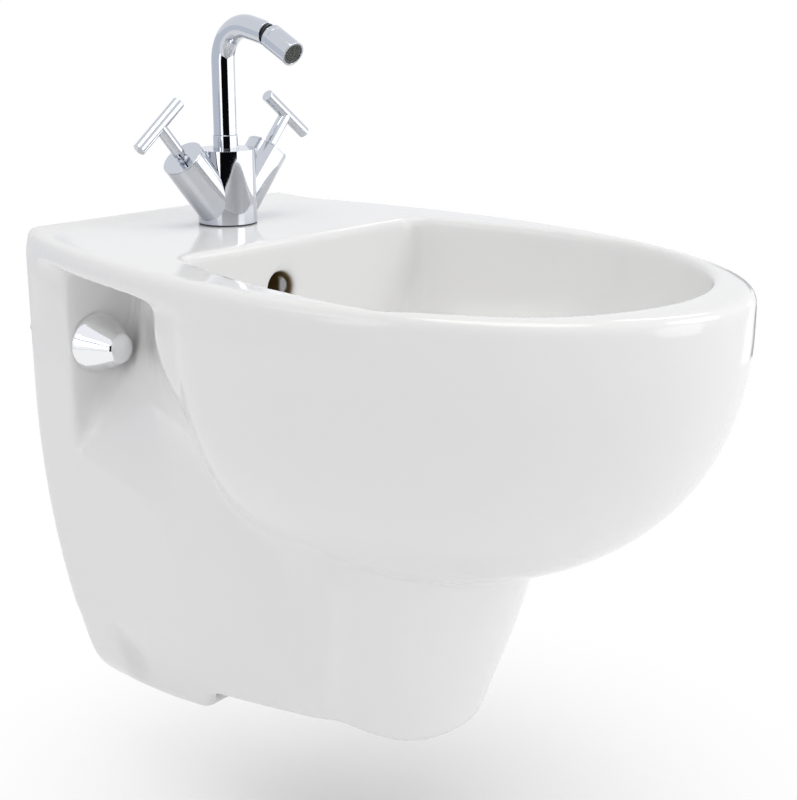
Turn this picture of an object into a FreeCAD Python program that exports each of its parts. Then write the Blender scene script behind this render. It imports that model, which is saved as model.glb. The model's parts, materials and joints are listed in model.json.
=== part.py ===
"""Wall-hung bidet with a two-handle tap, a push-plug waste and capped wall fixings.

Millimetres, +Z up. The origin lies on the wall, midway between the two wall studs. The wall is the
plane Y = 0 and the bidet stands out from it towards -Y, with X across it.
"""
import FreeCAD, Part
import math
import os

V = FreeCAD.Vector
UP = V(0, 0, 1)
DOWN = V(0, 0, -1)
OUT = V(0, -1, 0)
SIDES = (-1, 1)

# China body
RIM_Z = 85.0                # rim above the line of the studs
BODY_WIDTH = 360.0
BODY_LENGTH = 556.0
RIM_REAR_WIDTH = 274.0
BODY_HEIGHT = 406.0
WIDEST_FROM_WALL = 260.0
BOWL_DEPTH = 218.0          # below the rim band
BOWL_FULLNESS = 2.25        # 2 is an ellipse, more is fuller
BOWL_STEP = 0.3             # the round back lies this far inside the front half where they meet
BOWL_REAR = 115.0           # how far the bowl's round back reaches behind its widest place
CHINA_WALL = 12.0
RIM_BAND = 21.0             # height of the plain band under the rim
RIM_ROUND = 7.0
DECK_THICKNESS = 15.0
DECK_RISE = 4.0             # the deck lifts towards the wall
DECK_RISE_LENGTH = 50.0
HOLLOW_DROP = 85.0          # the bowl is double walled from here down

# Wall flange
FLANGE_WIDTH = 284.0
FLANGE_DEPTH = 58.0
FLANGE_STRAIGHT = 120.0     # length of the upright edge before it draws in
FLANGE_FOOT_WIDTH = 208.0
FLANGE_FOOT_CORNER = 38.0   # height of the rounded lower corners
FLANGE_RING = 20.0          # width of the face that meets the wall
FLANGE_ROUND = 9.0

# Shroud under the bowl, from its narrow neck to its foot
NECK_HALF = 66.0            # half width of the neck beside the wall flange
NECK_SIDE = 165.0           # half width where the neck runs into the bowl
NECK_TURN = 214.0           # how far that is from the wall
NECK_DROP = 82.0            # how far below the rim the neck starts to widen
WAIST_REAR = 145.0
WAIST_HALF = 127.0
WAIST_DROP = 178.0
WAIST_NOSE = 388.0          # reach of the nose from the wall at the waist
NOSE_TURN = 258.0           # where the sides turn into the nose
SHIN_REAR = 124.0
SHIN_HALF = 98.0
SHIN_DROP = 318.0
SHIN_NOSE = 357.0
FOOT_REAR = 100.0
FOOT_HALF = 68.0
FOOT_NOSE = 341.0
BRIDGE_REACH = 136.0        # floor strip that ties both sides together beside the wall
BRIDGE_RISE = 14.0          # rise of the lower edge from the wall to the end of that strip
STEP_FROM_WALL = 150.0
STEP_RISE = 34.0            # rise of the lower edge just past the strip
FOOT_ARCH_FROM_WALL = 284.0
FOOT_ARCH = 59.0            # highest rise of the lower edge
TOE_FROM_WALL = 330.0
TOE_RISE = 37.0             # rise of the lower edge at the nose

# Basin
OPENING_FROM_WALL = 177.0
OPENING_TIP = 519.0
OPENING_REAR_WIDTH = 258.0
OPENING_WIDTH = 302.0
OPENING_WIDEST = 346.0
OPENING_CORNER = 18.0
BASIN_BOW = 0.01            # keeps the sides of the basin bowed down to its floor
BASIN_DEPTH = 150.0
BASIN_FLOOR_WIDTH = 112.0
BASIN_FLOOR_LENGTH = 120.0
BASIN_FLOOR_CORNER = 40.0
DRAIN_FROM_WALL = 290.0
DRAIN_HOLE_R = 23.0
DRAIN_BOSS_R = 40.0
DRAIN_BOSS = 42.0
OVERFLOW_R = 13.0
OVERFLOW_DROP = 38.0
OVERFLOW_X = -26.0
DUCT_R = 11.0
DUCT_BEHIND = 24.0

# Wall fixings
STUD_SPACING = 230.0
STUD_R = 6.0                # of the part that stands in the wall
STUD_END_R = 5.0            # of the threaded end that carries the nut
STUD_IN_WALL = 28.0
STUD_RECESS_R = 14.0        # hollow in the china round each stud, at the wall
STUD_RECESS = 12.0
STUD_STEP = 8.0             # the thick part ends this far inside the china
STUD_PAST_NUT = 5.0
SLEEVE_WALL = 3.8
SLEEVE_FLANGE_R = 14.0
SLEEVE_FLANGE = 2.0
CAP_BASE = 3.6
BOSS_R = 20.0
WASHER_R = 12.0
WASHER_THICKNESS = 2.5
NUT_ACROSS_FLATS = 17.0
NUT_HEIGHT = 8.0
CAP_R = 24.6
CAP_TIP_R = 11.0
CAP_LENGTH = 32.0
CAP_LIP = 3.0
CAP_WALL = 1.5
CAP_TIP_ROUND = 4.5

# Tap
TAP_FROM_WALL = 86.0
TAP_HOLE_R = 17.5
TAP_R = 24.0
TAP_HEIGHT = 60.0
GASKET_THICKNESS = 1.2
GASKET_INSET = 0.6
ARM_ANGLE = 39.5            # from upright
ARM_R = 17.2
ARM_RISE = 2.0              # the arm axes cross this far above the deck
ARM_LENGTH = 70.8           # from that crossing to the top of the cover
COVER_THICKNESS = 1.8
COVER_RING_R = 4.8
COVER_RING = 1.4
COVER_SPIGOT = 3.0
PORT_R = 4.5
PORT_DEPTH = 14.0
PORT_X = 9.0
TAP_HOLLOW = 3.0            # depth of the hollow under the body
TAP_STUD_R = 3.0
TAP_STUD_LENGTH = 62.0
TAP_STUD_DEPTH = 12.0
TAP_STUD_BACK = 13.0
HORSESHOE_R = 27.0
HORSESHOE_SLOT_R = 16.5
HORSESHOE_SLOT_FRONT = 8.0  # the slot's round end lies this far in front of the tap's axis
RUBBER_HORSESHOE = 3.0
STEEL_HORSESHOE = 2.5
TAP_NUT_ACROSS_FLATS = 10.0
TAP_NUT_HEIGHT = 8.0
BORE_FLOOR = 24.0           # floor of the spout's bore above the deck

# Headwork in each arm, measured along the arm from the crossing of the axes
HEADWORK_START = 32.0
HEADWORK_R = 12.0
SEAL_THICKNESS = 2.5
DISC_R = 9.3
DISC_THICKNESS = 3.2
SPINDLE_FOOT_R = 8.5
SPINDLE_FOOT = 2.8
SPINDLE_R = 3.2
SPINDLE_IN_STEM = 15.0
PASSAGE_R = 2.6
PASSAGE_OFFSET = 5.0        # of each water way from the middle of the discs
TROUGH_WIDTH = 4.4
TROUGH_LENGTH = 14.0
TROUGH_DEPTH = 1.6

# Handles
NECK_GAP = 4.0              # bare spindle between cover and stem
STEM_R = 4.9
STEM_LENGTH = 29.8          # from stem foot to the middle of the bar
BAR_R = 5.0
BAR_LENGTH = 53.0
BAR_ROUND = 0.7
SPIGOT_R = 3.4
GRUB_R = 1.5
GRUB_HEIGHT = 8.0

# Spout
SPOUT_R = 9.3
SPOUT_WALL = 1.6
COLLAR_HEIGHT = 11.0
COLLAR_DEPTH = 10.0
SPIGOT_FOOT_R = 8.0
SPIGOT_FOOT_BORE = 4.5
SPIGOT_FOOT_LENGTH = 16.0
COLLAR_UPSTAND = 8.0
COUNTERBORE_R = 10.2
SLIP_RING_R = 9.4
SLIP_RING_HEIGHT = 2.0
O_RING_R = 0.48
GROOVE_DEPTH = 1.0
GROOVE_HEIGHT = 1.2
O_RING_HEIGHTS = (5.0, 10.0)  # above the spigot's foot
BEND_R = 27.5
BEND_CENTRE_UP = 128.7      # above the deck
SPOUT_DIP = 12.0            # the spout's end points this far below level
SPOUT_TAIL = 20.6

# Nozzle, measured along its axis from the middle of the ball
BALL_R = 6.7
BALL_PAST_SPOUT = 1.5
BALL_BORE_R = 2.6
BALL_NECK_R = 4.0
SOCKET_BACK = 6.5
SOCKET_FRONT = 1.0
SOCKET_BORE_R = 4.5
NOZZLE_TILT = 15.4          # further dip of the nozzle at rest
NOZZLE_R = 9.75
NOZZLE_START = 2.8
NOZZLE_RING = 4.6
NOZZLE_RING_WALL = 1.05
NOZZLE_LIP = 1.2            # of the housing inside the ring
NOZZLE_LIP_WALL = 1.0
NOZZLE_END = 30.2
NOZZLE_BACK_WALL = 2.0
NOZZLE_WALL = 1.5
NOZZLE_WASHER = 2.0
AERATOR_RECESS = 1.0
AERATOR_WALL = 1.3
AERATOR_BACK = 2.0
AERATOR_HOLE_R = 0.8
AERATOR_HOLES = 6
AERATOR_HOLE_CIRCLE = 2.2
SCREEN_THICKNESS = 0.8
SCREEN_HOLE_R = 0.5
SCREEN_PITCH = 1.45
SCREEN_RINGS = 5

# Waste
WASTE_FLANGE_R = 31.0
WASTE_FLANGE_THICKNESS = 2.5
WASTE_TUBE_R = 18.6
WASTE_TUBE_WALL = 1.8
WASTE_TUBE_LENGTH = 12.0    # below the basin floor
WASTE_BODY_R = 20.95
WASTE_BODY_TOP = 2.0        # below the basin floor
OUTLET_R = 20.0             # plain outlet below the thread
OUTLET_GAP = 4.0            # between the back nut and the outlet
OUTLET_LENGTH = 32.0
WASTE_GASKET = 1.5
WASTE_GASKET_R = 30.0
LOWER_GASKET = 7.0
LOWER_GASKET_R = 33.0
BACK_NUT_ACROSS_FLATS = 54.0
BACK_NUT = 9.0
OVERFLOW_SLOT_R = 4.0
OVERFLOW_SLOTS = 4
PLUG_R = 29.0
PLUG_THICKNESS = 3.5
PLUG_DOME = 2.5
PLUG_LIFT = 9.0
PLUG_SEAL = 2.2
PLUG_SEAL_GROOVE = 1.0
PLUG_SEAL_R = 22.0
PLUG_SEAL_INNER_R = 19.0
PLUG_STEM_R = 4.0
PLUG_STEM_IN_PLUG = 2.5
GUIDE_TOP = 28.0            # below the basin floor
GUIDE_LENGTH = 24.0
GUIDE_HUB_R = 7.5
GUIDE_RING_WALL = 1.5
GUIDE_SPOKE = 3.0
GUIDE_SPOKES = 3
GUIDE_BOTTOM = 2.0
STEM_CLEAR = 10.0           # room under the stem when the plug is up

# Clearances
SEAT_GAP = 0.02             # between pieces that sit against each other
RUN_GAP = 0.05              # between a turning or sliding piece and its bearing
FREE_GAP = 0.3              # between moving pieces that must not touch

STUD_X = STUD_SPACING / 2
HALF_WIDTH = BODY_WIDTH / 2
HALF_FLANGE = FLANGE_WIDTH / 2
DECK = V(0, -TAP_FROM_WALL, RIM_Z)
DRAIN = V(0, -DRAIN_FROM_WALL, RIM_Z - BASIN_DEPTH)
BOSS_UNDER = V(0, -DRAIN_FROM_WALL, RIM_Z - BASIN_DEPTH - DRAIN_BOSS)
FLANGE_BOTTOM_Z = RIM_Z - BODY_HEIGHT
PAST = 5.0                  # how far a cut runs past the face that it opens
CROSSING = DECK + UP * ARM_RISE
BODY_FOOT = DECK + UP * GASKET_THICKNESS
BODY_TOP = DECK + UP * TAP_HEIGHT
COVER_FOOT = ARM_LENGTH - COVER_THICKNESS
STEM_FOOT = ARM_LENGTH + NECK_GAP
BAR_MIDDLE = STEM_FOOT + STEM_LENGTH
DISC_FOOT = HEADWORK_START + SEAL_THICKNESS
TURNING_FOOT = DISC_FOOT + DISC_THICKNESS
SPINDLE_START = TURNING_FOOT + DISC_THICKNESS
SPOUT_TURN = math.radians(90 + SPOUT_DIP)
BEND_START = DECK + UP * BEND_CENTRE_UP
BEND_CENTRE = BEND_START + OUT * BEND_R
BEND_END = BEND_CENTRE + V(0, math.cos(SPOUT_TURN), math.sin(SPOUT_TURN)) * BEND_R
END_AXIS = V(0, -math.sin(SPOUT_TURN), math.cos(SPOUT_TURN))
SPOUT_END = BEND_END + END_AXIS * SPOUT_TAIL
BALL = SPOUT_END + END_AXIS * BALL_PAST_SPOUT
NOZZLE_TURN = SPOUT_TURN + math.radians(NOZZLE_TILT)
NOZZLE_AXIS = V(0, -math.sin(NOZZLE_TURN), math.cos(NOZZLE_TURN))
NOZZLE_SHOULDER = NOZZLE_START + NOZZLE_RING
NOZZLE_FLOOR = NOZZLE_SHOULDER + NOZZLE_BACK_WALL
INSERT_START = NOZZLE_FLOOR + NOZZLE_WASHER
INSERT_END = NOZZLE_END - AERATOR_RECESS
WASTE_TOP = WASTE_GASKET + WASTE_FLANGE_THICKNESS
PLUG_UNDER = WASTE_TOP + PLUG_LIFT
NUT_DROP = DRAIN_BOSS + LOWER_GASKET
OUTLET_DROP = NUT_DROP + BACK_NUT + OUTLET_GAP


def cylinder(radius, start, end):
    """A round bar from one point to another."""
    axis = end - start
    return Part.makeCylinder(radius, axis.Length, start, axis)


def ring(outer, inner, start, end):
    """A round bar with a hole along its axis."""
    axis = (end - start).normalize()
    hole = cylinder(inner, start - axis * PAST, end + axis * PAST)
    return cylinder(outer, start, end).cut(hole)


def cone(first, last, start, end):
    """A taper from one point to another."""
    axis = end - start
    return Part.makeCone(first, last, axis.Length, start, axis)


def hexagon(across_flats, height, start, axis):
    """A hexagon prism whose flats face sideways from its axis."""
    corner_r = across_flats / math.sqrt(3)
    points = []
    for corner in range(7):
        turn = math.radians(60 * corner)
        points.append(V(corner_r * math.cos(turn), corner_r * math.sin(turn), 0))
    prism = Part.Face(Part.makePolygon(points)).extrude(V(0, 0, height))
    prism.Placement = FreeCAD.Placement(start, FreeCAD.Rotation(UP, axis))
    return prism


def joined(pieces):
    """One solid from several that overlap."""
    return pieces[0].multiFuse(pieces[1:]).removeSplitter()


def save(name, shape):
    """Write one sub-part."""
    shape.exportStep(os.path.join("parts", name + ".step"))


def front_curve(half, turn, tip, z):
    """Half an ellipse in plan, from one side round the front to the other."""
    points = []
    for step in range(9):
        angle = math.pi * step / 8
        points.append(V(half * math.cos(angle), turn - (turn - tip) * math.sin(angle), z))
    curve = Part.BSplineCurve()
    curve.interpolate(Points=points, InitialTangent=V(0, -1, 0), FinalTangent=V(0, 1, 0))
    return curve.toShape()


def side_arc(rear, rear_y, half, turn, z):
    """The gently bowed side of a barrel outline, upright to the wall where it is widest."""
    middle_y = (rear_y + turn) / 2
    bulge = rear + (half - rear) * (1 - ((middle_y - turn) / (rear_y - turn)) ** 2)
    return V(rear, rear_y, z), V(bulge, middle_y, z), V(half, turn, z)


def mirrored(point):
    """The same point on the other side of the middle plane."""
    return V(-point.x, point.y, point.z)


def rim_outline(z):
    """The outline of the rim: two bowed sides, the wall line and half an ellipse in front."""
    near, middle, wide = side_arc(RIM_REAR_WIDTH / 2, 0, HALF_WIDTH, -WIDEST_FROM_WALL, z)
    centre = V(0, -WIDEST_FROM_WALL, z)
    oval = Part.Ellipse(V(0, -BODY_LENGTH, z), wide, centre)
    front = Part.ArcOfEllipse(oval, -math.pi / 2, math.pi / 2).toShape()
    edges = [Part.Arc(near, middle, wide).toShape(), front,
             Part.Arc(mirrored(wide), mirrored(middle), mirrored(near)).toShape(),
             Part.makeLine(mirrored(near), near)]
    return Part.Face(Part.Wire(Part.__sortEdges__(edges)))


def edge_middle(edge):
    """The point half way along an edge."""
    return edge.valueAt((edge.FirstParameter + edge.LastParameter) / 2)


def bowl_half(width, reach, depth, start_angle):
    """Half of the bowl below the rim, in front of or behind its widest place."""
    points = []
    for step in range(9):
        angle = math.pi * step / 16
        level = -depth * math.cos(angle) ** (2 / BOWL_FULLNESS)
        points.append(V(depth * math.sin(angle) ** (2 / BOWL_FULLNESS), 0, level))
    foot, edge, centre = V(0, 0, -depth), V(depth, 0, 0), V(0, 0, 0)
    curve = Part.BSplineCurve()
    curve.interpolate(Points=[foot] + points[1:-1] + [edge])
    outline = Part.Wire([curve.toShape(), Part.makeLine(edge, centre), Part.makeLine(centre, foot)])
    half = Part.Face(outline).revolve(centre, UP, 180)
    half.rotate(centre, UP, start_angle)
    scale = FreeCAD.Matrix()
    scale.scale(width / depth, reach / depth, 1)
    half = half.transformGeometry(scale)
    half.translate(V(0, -WIDEST_FROM_WALL, RIM_Z - RIM_BAND))
    return half


def bowl_form(inset):
    """The half egg that hangs under the rim."""
    front = BODY_LENGTH - WIDEST_FROM_WALL - inset
    half = HALF_WIDTH - inset
    depth = BOWL_DEPTH - inset
    return joined([bowl_half(half, front, depth, 180),
                   bowl_half(half - BOWL_STEP, BOWL_REAR - inset, depth - BOWL_STEP, 0)])


def side_profile(points):
    """A block across the whole width, from its outline seen from the side as (from wall, height)."""
    corners = [V(-BODY_WIDTH, -reach, height) for reach, height in points]
    return Part.Face(Part.makePolygon(corners + corners[:1])).extrude(V(2 * BODY_WIDTH, 0, 0))


def band_form():
    """The slab of deck and rim, lifting a little at the wall, with its edges rounded."""
    slab = rim_outline(RIM_Z - RIM_BAND).extrude(V(0, 0, RIM_BAND + DECK_RISE))
    sweep_r = (DECK_RISE_LENGTH ** 2 + DECK_RISE ** 2) / (2 * DECK_RISE)
    start = V(-BODY_WIDTH, -DECK_RISE_LENGTH, RIM_Z + sweep_r)
    room = Part.makeBox(2 * BODY_WIDTH, BODY_LENGTH + PAST - DECK_RISE_LENGTH, sweep_r,
                        V(-BODY_WIDTH, -BODY_LENGTH - PAST, RIM_Z))
    slab = slab.cut([room, cylinder(sweep_r, start, start + V(2 * BODY_WIDTH, 0, 0))])
    rounded = []
    for edge in slab.Edges:
        middle = edge_middle(edge)
        outer = abs(middle.x) > 1 or middle.y < -WIDEST_FROM_WALL
        corner = abs(middle.y) < 1 and abs(middle.x) > RIM_REAR_WIDTH / 2 - 1
        if corner or (outer and middle.z > RIM_Z - 1):
            rounded.append(edge)
    return slab.makeFillet(RIM_ROUND, rounded)


def shield(grow, top):
    """The outline of the wall flange, or one inside it, up to a given height."""
    bottom = FLANGE_BOTTOM_Z - grow
    half = HALF_FLANGE + grow
    foot = FLANGE_FOOT_WIDTH / 2 + grow
    drawn_z = RIM_Z - FLANGE_STRAIGHT
    corner_z = bottom + FLANGE_FOOT_CORNER
    lean = math.atan(2 * (half - foot) / (drawn_z - corner_z))
    turn_r = FLANGE_FOOT_CORNER / (1 - math.sin(lean))
    centre = V(foot - turn_r * math.cos(lean), 0, bottom + turn_r)
    mid_turn = (lean + math.pi / 2) / 2
    on_turn = centre + V(math.cos(mid_turn), 0, -math.sin(mid_turn)) * turn_r
    bow = half - (half - foot) / 4
    right = [V(half, 0, top), V(half, 0, drawn_z), V(bow, 0, (drawn_z + corner_z) / 2),
             V(foot, 0, corner_z), on_turn, V(centre.x, 0, bottom)]
    left = [mirrored(point) for point in right]
    edges = [Part.makeLine(right[0], right[1]),
             Part.Arc(right[1], right[2], right[3]).toShape(),
             Part.Arc(right[3], right[4], right[5]).toShape(),
             Part.makeLine(right[5], left[5]),
             Part.Arc(left[5], left[4], left[3]).toShape(),
             Part.Arc(left[3], left[2], left[1]).toShape(),
             Part.makeLine(left[1], left[0]),
             Part.makeLine(left[0], right[0])]
    return Part.Face(Part.Wire(edges))


def flange_form():
    """The shield that meets the wall, with its wall edge rounded."""
    plate = shield(0, RIM_Z - RIM_BAND / 2).extrude(OUT * FLANGE_DEPTH)
    rear = []
    for edge in plate.Edges:
        middle = edge_middle(edge)
        if abs(middle.y) < 1 and middle.z < RIM_Z - RIM_BAND / 2 - 1:
            rear.append(edge)
    return plate.makeFillet(FLANGE_ROUND, rear)


def flange_hollow():
    """The space inside the flange, open to the wall."""
    space = shield(-FLANGE_RING, RIM_Z - FLANGE_RING).extrude(OUT * (FLANGE_DEPTH - CHINA_WALL + PAST))
    space.translate(OUT * -PAST)
    return space


def shroud_section(drop, rear, side, turn, nose, inset):
    """One level of the shroud: straight sides that spread from the wall flange, and a round nose."""
    z = RIM_Z - drop
    back = V(rear - inset, -FLANGE_DEPTH / 2, z)
    corner = V(side - inset, -turn, z)
    edges = [Part.makeLine(back, corner),
             front_curve(side - inset, -turn, -(nose - inset), z),
             Part.makeLine(mirrored(corner), mirrored(back)),
             Part.makeLine(mirrored(back), back)]
    return Part.Wire(edges)


def shroud_form(inset, top_drop):
    """The skirt from under the deck down past the foot, never wider than the wall flange."""
    shoulder_drop = (NECK_DROP + WAIST_DROP) / 2
    shoulder_rear = (NECK_HALF + WAIST_REAR) / 2
    shoulder_side = (NECK_SIDE + WAIST_HALF) / 2
    shoulder_turn = (NECK_TURN + NOSE_TURN) / 2
    levels = [shroud_section(top_drop, NECK_HALF, NECK_SIDE, NECK_TURN, WAIST_NOSE, inset),
              shroud_section(NECK_DROP, NECK_HALF, NECK_SIDE, NECK_TURN, WAIST_NOSE, inset),
              shroud_section(shoulder_drop, shoulder_rear, shoulder_side, shoulder_turn, WAIST_NOSE, inset),
              shroud_section(WAIST_DROP, WAIST_REAR, WAIST_HALF, NOSE_TURN, WAIST_NOSE, inset),
              shroud_section(SHIN_DROP, SHIN_REAR, SHIN_HALF, NOSE_TURN, SHIN_NOSE, inset),
              shroud_section(BODY_HEIGHT, FOOT_REAR, FOOT_HALF, NOSE_TURN, FOOT_NOSE, inset)]
    skirt = Part.makeLoft(levels, True, False)
    front = Part.makeBox(2 * BODY_WIDTH, BODY_LENGTH, WAIST_DROP,
                         V(-BODY_WIDTH, -BODY_LENGTH - BRIDGE_REACH, RIM_Z - WAIST_DROP))
    behind = shield(-inset, RIM_Z).extrude(OUT * BODY_LENGTH)
    return skirt.common(front.fuse(behind))


def below_foot():
    """Everything under the body's waved lower edge."""
    deep = FLANGE_BOTTOM_Z - BODY_HEIGHT
    return side_profile([(-PAST, FLANGE_BOTTOM_Z), (BRIDGE_REACH, FLANGE_BOTTOM_Z + BRIDGE_RISE),
                         (STEP_FROM_WALL, FLANGE_BOTTOM_Z + STEP_RISE),
                         (FOOT_ARCH_FROM_WALL, FLANGE_BOTTOM_Z + FOOT_ARCH),
                         (TOE_FROM_WALL, FLANGE_BOTTOM_Z + TOE_RISE),
                         (BODY_LENGTH, FLANGE_BOTTOM_Z + TOE_RISE), (BODY_LENGTH, deep), (-PAST, deep)])


def basin_section(share, grow, z):
    """One level of the basin, a share of the way from its opening to its floor."""
    floor_front = DRAIN_FROM_WALL + BASIN_FLOOR_LENGTH / 2
    floor_rear = DRAIN_FROM_WALL - BASIN_FLOOR_LENGTH / 2

    def between(opening, floor):
        return opening + (floor - opening) * share

    rear = between(OPENING_REAR_WIDTH, BASIN_FLOOR_WIDTH) / 2 + grow
    half = between(OPENING_WIDTH, BASIN_FLOOR_WIDTH) / 2 + grow + BASIN_BOW
    rear_y = grow - between(OPENING_FROM_WALL, floor_rear)
    turn = -between(OPENING_WIDEST, DRAIN_FROM_WALL)
    tip = -between(OPENING_TIP, floor_front) - grow
    corner = between(OPENING_CORNER, BASIN_FLOOR_CORNER)
    cut = corner * (1 - math.sqrt(0.5))
    start = V(rear - corner, rear_y, z)
    bend = V(rear - cut, rear_y - cut, z)
    near, middle, wide = side_arc(rear, rear_y - corner, half, turn, z)
    right = [Part.Arc(start, bend, near).toShape(), Part.Arc(near, middle, wide).toShape()]
    left = [Part.Arc(mirrored(wide), mirrored(middle), mirrored(near)).toShape(),
            Part.Arc(mirrored(near), mirrored(bend), mirrored(start)).toShape()]
    back = Part.makeLine(mirrored(start), start)
    return Part.Wire(right + [front_curve(half, turn, tip, z)] + left + [back])


def basin_form(grow):
    """The hollow of the basin, or its outside when grown by the wall."""
    depth = BASIN_DEPTH + grow
    levels = [basin_section(0, grow, RIM_Z + PAST)]
    for part in (0, 0.4, 0.7, 0.9, 1):
        levels.append(basin_section(1 - math.sqrt(1 - part ** 2), grow, RIM_Z - depth * part))
    return Part.makeLoft(levels, True, False)


def overflow_duct(radius, start_drop):
    """The round way from behind the overflow hole down and forward to the drain."""
    back_y = DUCT_BEHIND - OPENING_FROM_WALL
    level = DRAIN.z - CHINA_WALL - DUCT_R
    top = V(OVERFLOW_X, back_y, RIM_Z - start_drop)
    bend = V(OVERFLOW_X, back_y, level)
    end = V(DRAIN.x, DRAIN.y, level)
    return [cylinder(radius, top, bend), Part.makeSphere(radius, bend), cylinder(radius, bend, end)]


def china_hollow():
    """The space inside the china, open to the wall and to the floor."""
    low = Part.makeBox(2 * BODY_WIDTH, 2 * BODY_LENGTH, BOWL_DEPTH,
                       V(-BODY_WIDTH, -2 * BODY_LENGTH, RIM_Z - HOLLOW_DROP - BOWL_DEPTH))
    space = joined([shroud_form(CHINA_WALL, DECK_THICKNESS), bowl_form(CHINA_WALL).common(low),
                    flange_hollow()])
    floor_z = FLANGE_BOTTOM_Z + CHINA_WALL
    bridge = side_profile([(0, floor_z), (BRIDGE_REACH, floor_z + BRIDGE_RISE),
                           (BRIDGE_REACH, FLANGE_BOTTOM_Z), (0, FLANGE_BOTTOM_Z)])
    kept = [basin_form(CHINA_WALL), bridge, cylinder(DRAIN_BOSS_R, DRAIN, BOSS_UNDER)]
    kept = kept + overflow_duct(DUCT_R + CHINA_WALL / 2, DECK_THICKNESS)
    for side in SIDES:
        kept.append(cylinder(BOSS_R, V(side * STUD_X, PAST, 0), V(side * STUD_X, -FLANGE_DEPTH, 0)))
    return space.cut(kept)


def bidet_bowl():
    """The glazed china body."""
    outside = joined([band_form(), bowl_form(0), flange_form(), shroud_form(0, PAST)])
    outside = outside.cut(below_foot())
    cuts = [china_hollow(), basin_form(0)]
    china = outside.cut(cuts)
    hole_y = DUCT_BEHIND - OPENING_FROM_WALL
    level = RIM_Z - OVERFLOW_DROP
    holes = overflow_duct(DUCT_R, OVERFLOW_DROP - OVERFLOW_R)
    holes.append(cylinder(OVERFLOW_R, V(OVERFLOW_X, hole_y, level),
                          V(OVERFLOW_X, -OPENING_FROM_WALL - 2 * CHINA_WALL, level)))
    holes.append(cylinder(DRAIN_HOLE_R, DRAIN + UP * PAST, BOSS_UNDER + DOWN * PAST))
    holes.append(cylinder(TAP_HOLE_R, DECK + UP * PAST, DECK + DOWN * (DECK_THICKNESS + PAST)))
    for side in SIDES:
        behind = V(side * STUD_X, PAST, 0)
        holes.append(cylinder(STUD_RECESS_R, behind, V(side * STUD_X, -STUD_RECESS, 0)))
        holes.append(cylinder(STUD_END_R + SLEEVE_WALL + SEAT_GAP, behind,
                              V(side * STUD_X, -FLANGE_DEPTH - PAST, 0)))
    return china.cut(holes)


def pair(make):
    """Two alike pieces, one for each wall stud, placed by their height above the flange."""
    shapes = []
    for side in SIDES:
        shapes.append(make(V(side * STUD_X, -FLANGE_DEPTH, 0)))
    return Part.makeCompound(shapes)


def wall_stud(face):
    """A threaded stud from inside the wall to just past its nut, thinner from inside the china on."""
    reach = CAP_BASE + WASHER_THICKNESS + NUT_HEIGHT + STUD_PAST_NUT
    step = V(face.x, -STUD_STEP, 0)
    return joined([cylinder(STUD_R, V(face.x, STUD_IN_WALL, 0), step),
                   cylinder(STUD_END_R, step, face + OUT * reach)])


def stud_sleeve(face):
    """The plastic sleeve that keeps a stud off the china, with a flange outside."""
    bore = STUD_END_R + SEAT_GAP
    start = face + OUT * SEAT_GAP
    body = cylinder(STUD_END_R + SLEEVE_WALL, V(face.x, -STUD_RECESS - SLEEVE_FLANGE, 0), start)
    flange = cylinder(SLEEVE_FLANGE_R, start, face + OUT * SLEEVE_FLANGE)
    hole = cylinder(bore, V(face.x, PAST, 0), face + OUT * (SLEEVE_FLANGE + PAST))
    return body.fuse(flange).removeSplitter().cut(hole)


def cap_base(face):
    """The disc under the washer that the cap clips on to."""
    outer = CAP_R - CAP_WALL - SEAT_GAP
    disc = ring(outer, STUD_END_R + FREE_GAP, face + OUT * SEAT_GAP, face + OUT * CAP_BASE)
    pocket = cylinder(SLEEVE_FLANGE_R + SEAT_GAP, face, face + OUT * (SLEEVE_FLANGE + SEAT_GAP))
    return disc.cut(pocket)


def fixing_washer(face):
    """The steel washer on the cap's base."""
    start = face + OUT * (CAP_BASE + SEAT_GAP)
    return ring(WASHER_R, STUD_END_R + FREE_GAP, start, face + OUT * (CAP_BASE + WASHER_THICKNESS))


def fixing_nut(face):
    """The nut that draws the china to the wall."""
    foot = CAP_BASE + WASHER_THICKNESS
    start = face + OUT * (foot + SEAT_GAP)
    nut = hexagon(NUT_ACROSS_FLATS, NUT_HEIGHT - SEAT_GAP, start, OUT)
    return nut.cut(cylinder(STUD_END_R + SEAT_GAP, face, face + OUT * (foot + NUT_HEIGHT + PAST)))


def fixing_cap(face):
    """The hollow cone that hides a nut."""
    foot = face + OUT * FREE_GAP
    lip = face + OUT * CAP_LIP
    tip = face + OUT * CAP_LENGTH
    shell = cylinder(CAP_R, foot, lip).fuse(cone(CAP_R, CAP_TIP_R, lip, tip)).removeSplitter()
    ends = [edge for edge in shell.Edges if abs(edge_middle(edge).y - tip.y) < SEAT_GAP]
    shell = shell.makeFillet(CAP_TIP_ROUND, ends)
    inner = CAP_R - CAP_WALL
    inner_lip = face + OUT * (CAP_LIP + CAP_WALL / 2)
    hollow = cylinder(inner, face, inner_lip)
    hollow = hollow.fuse(cone(inner, CAP_TIP_R - CAP_WALL, inner_lip, tip - OUT * CAP_WALL))
    return shell.cut(hollow)


def arm_axis(side):
    """The direction of one arm, from the crossing of both outwards."""
    lean = math.radians(ARM_ANGLE)
    return V(side * math.sin(lean), 0, math.cos(lean))


def bar_axis(side):
    """The direction of one handle bar at rest, square to its arm."""
    lean = math.radians(ARM_ANGLE)
    return V(math.cos(lean), 0, -side * math.sin(lean))


def along(side, length):
    """A point on the axis of one arm."""
    return CROSSING + arm_axis(side) * length


def arm_bar(radius, side, start, end):
    """A round bar on the axis of one arm."""
    return cylinder(radius, along(side, start), along(side, end))


def arm_ring(outer, inner, side, start, end):
    """A round bar with a hole, on the axis of one arm."""
    return ring(outer, inner, along(side, start), along(side, end))


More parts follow.
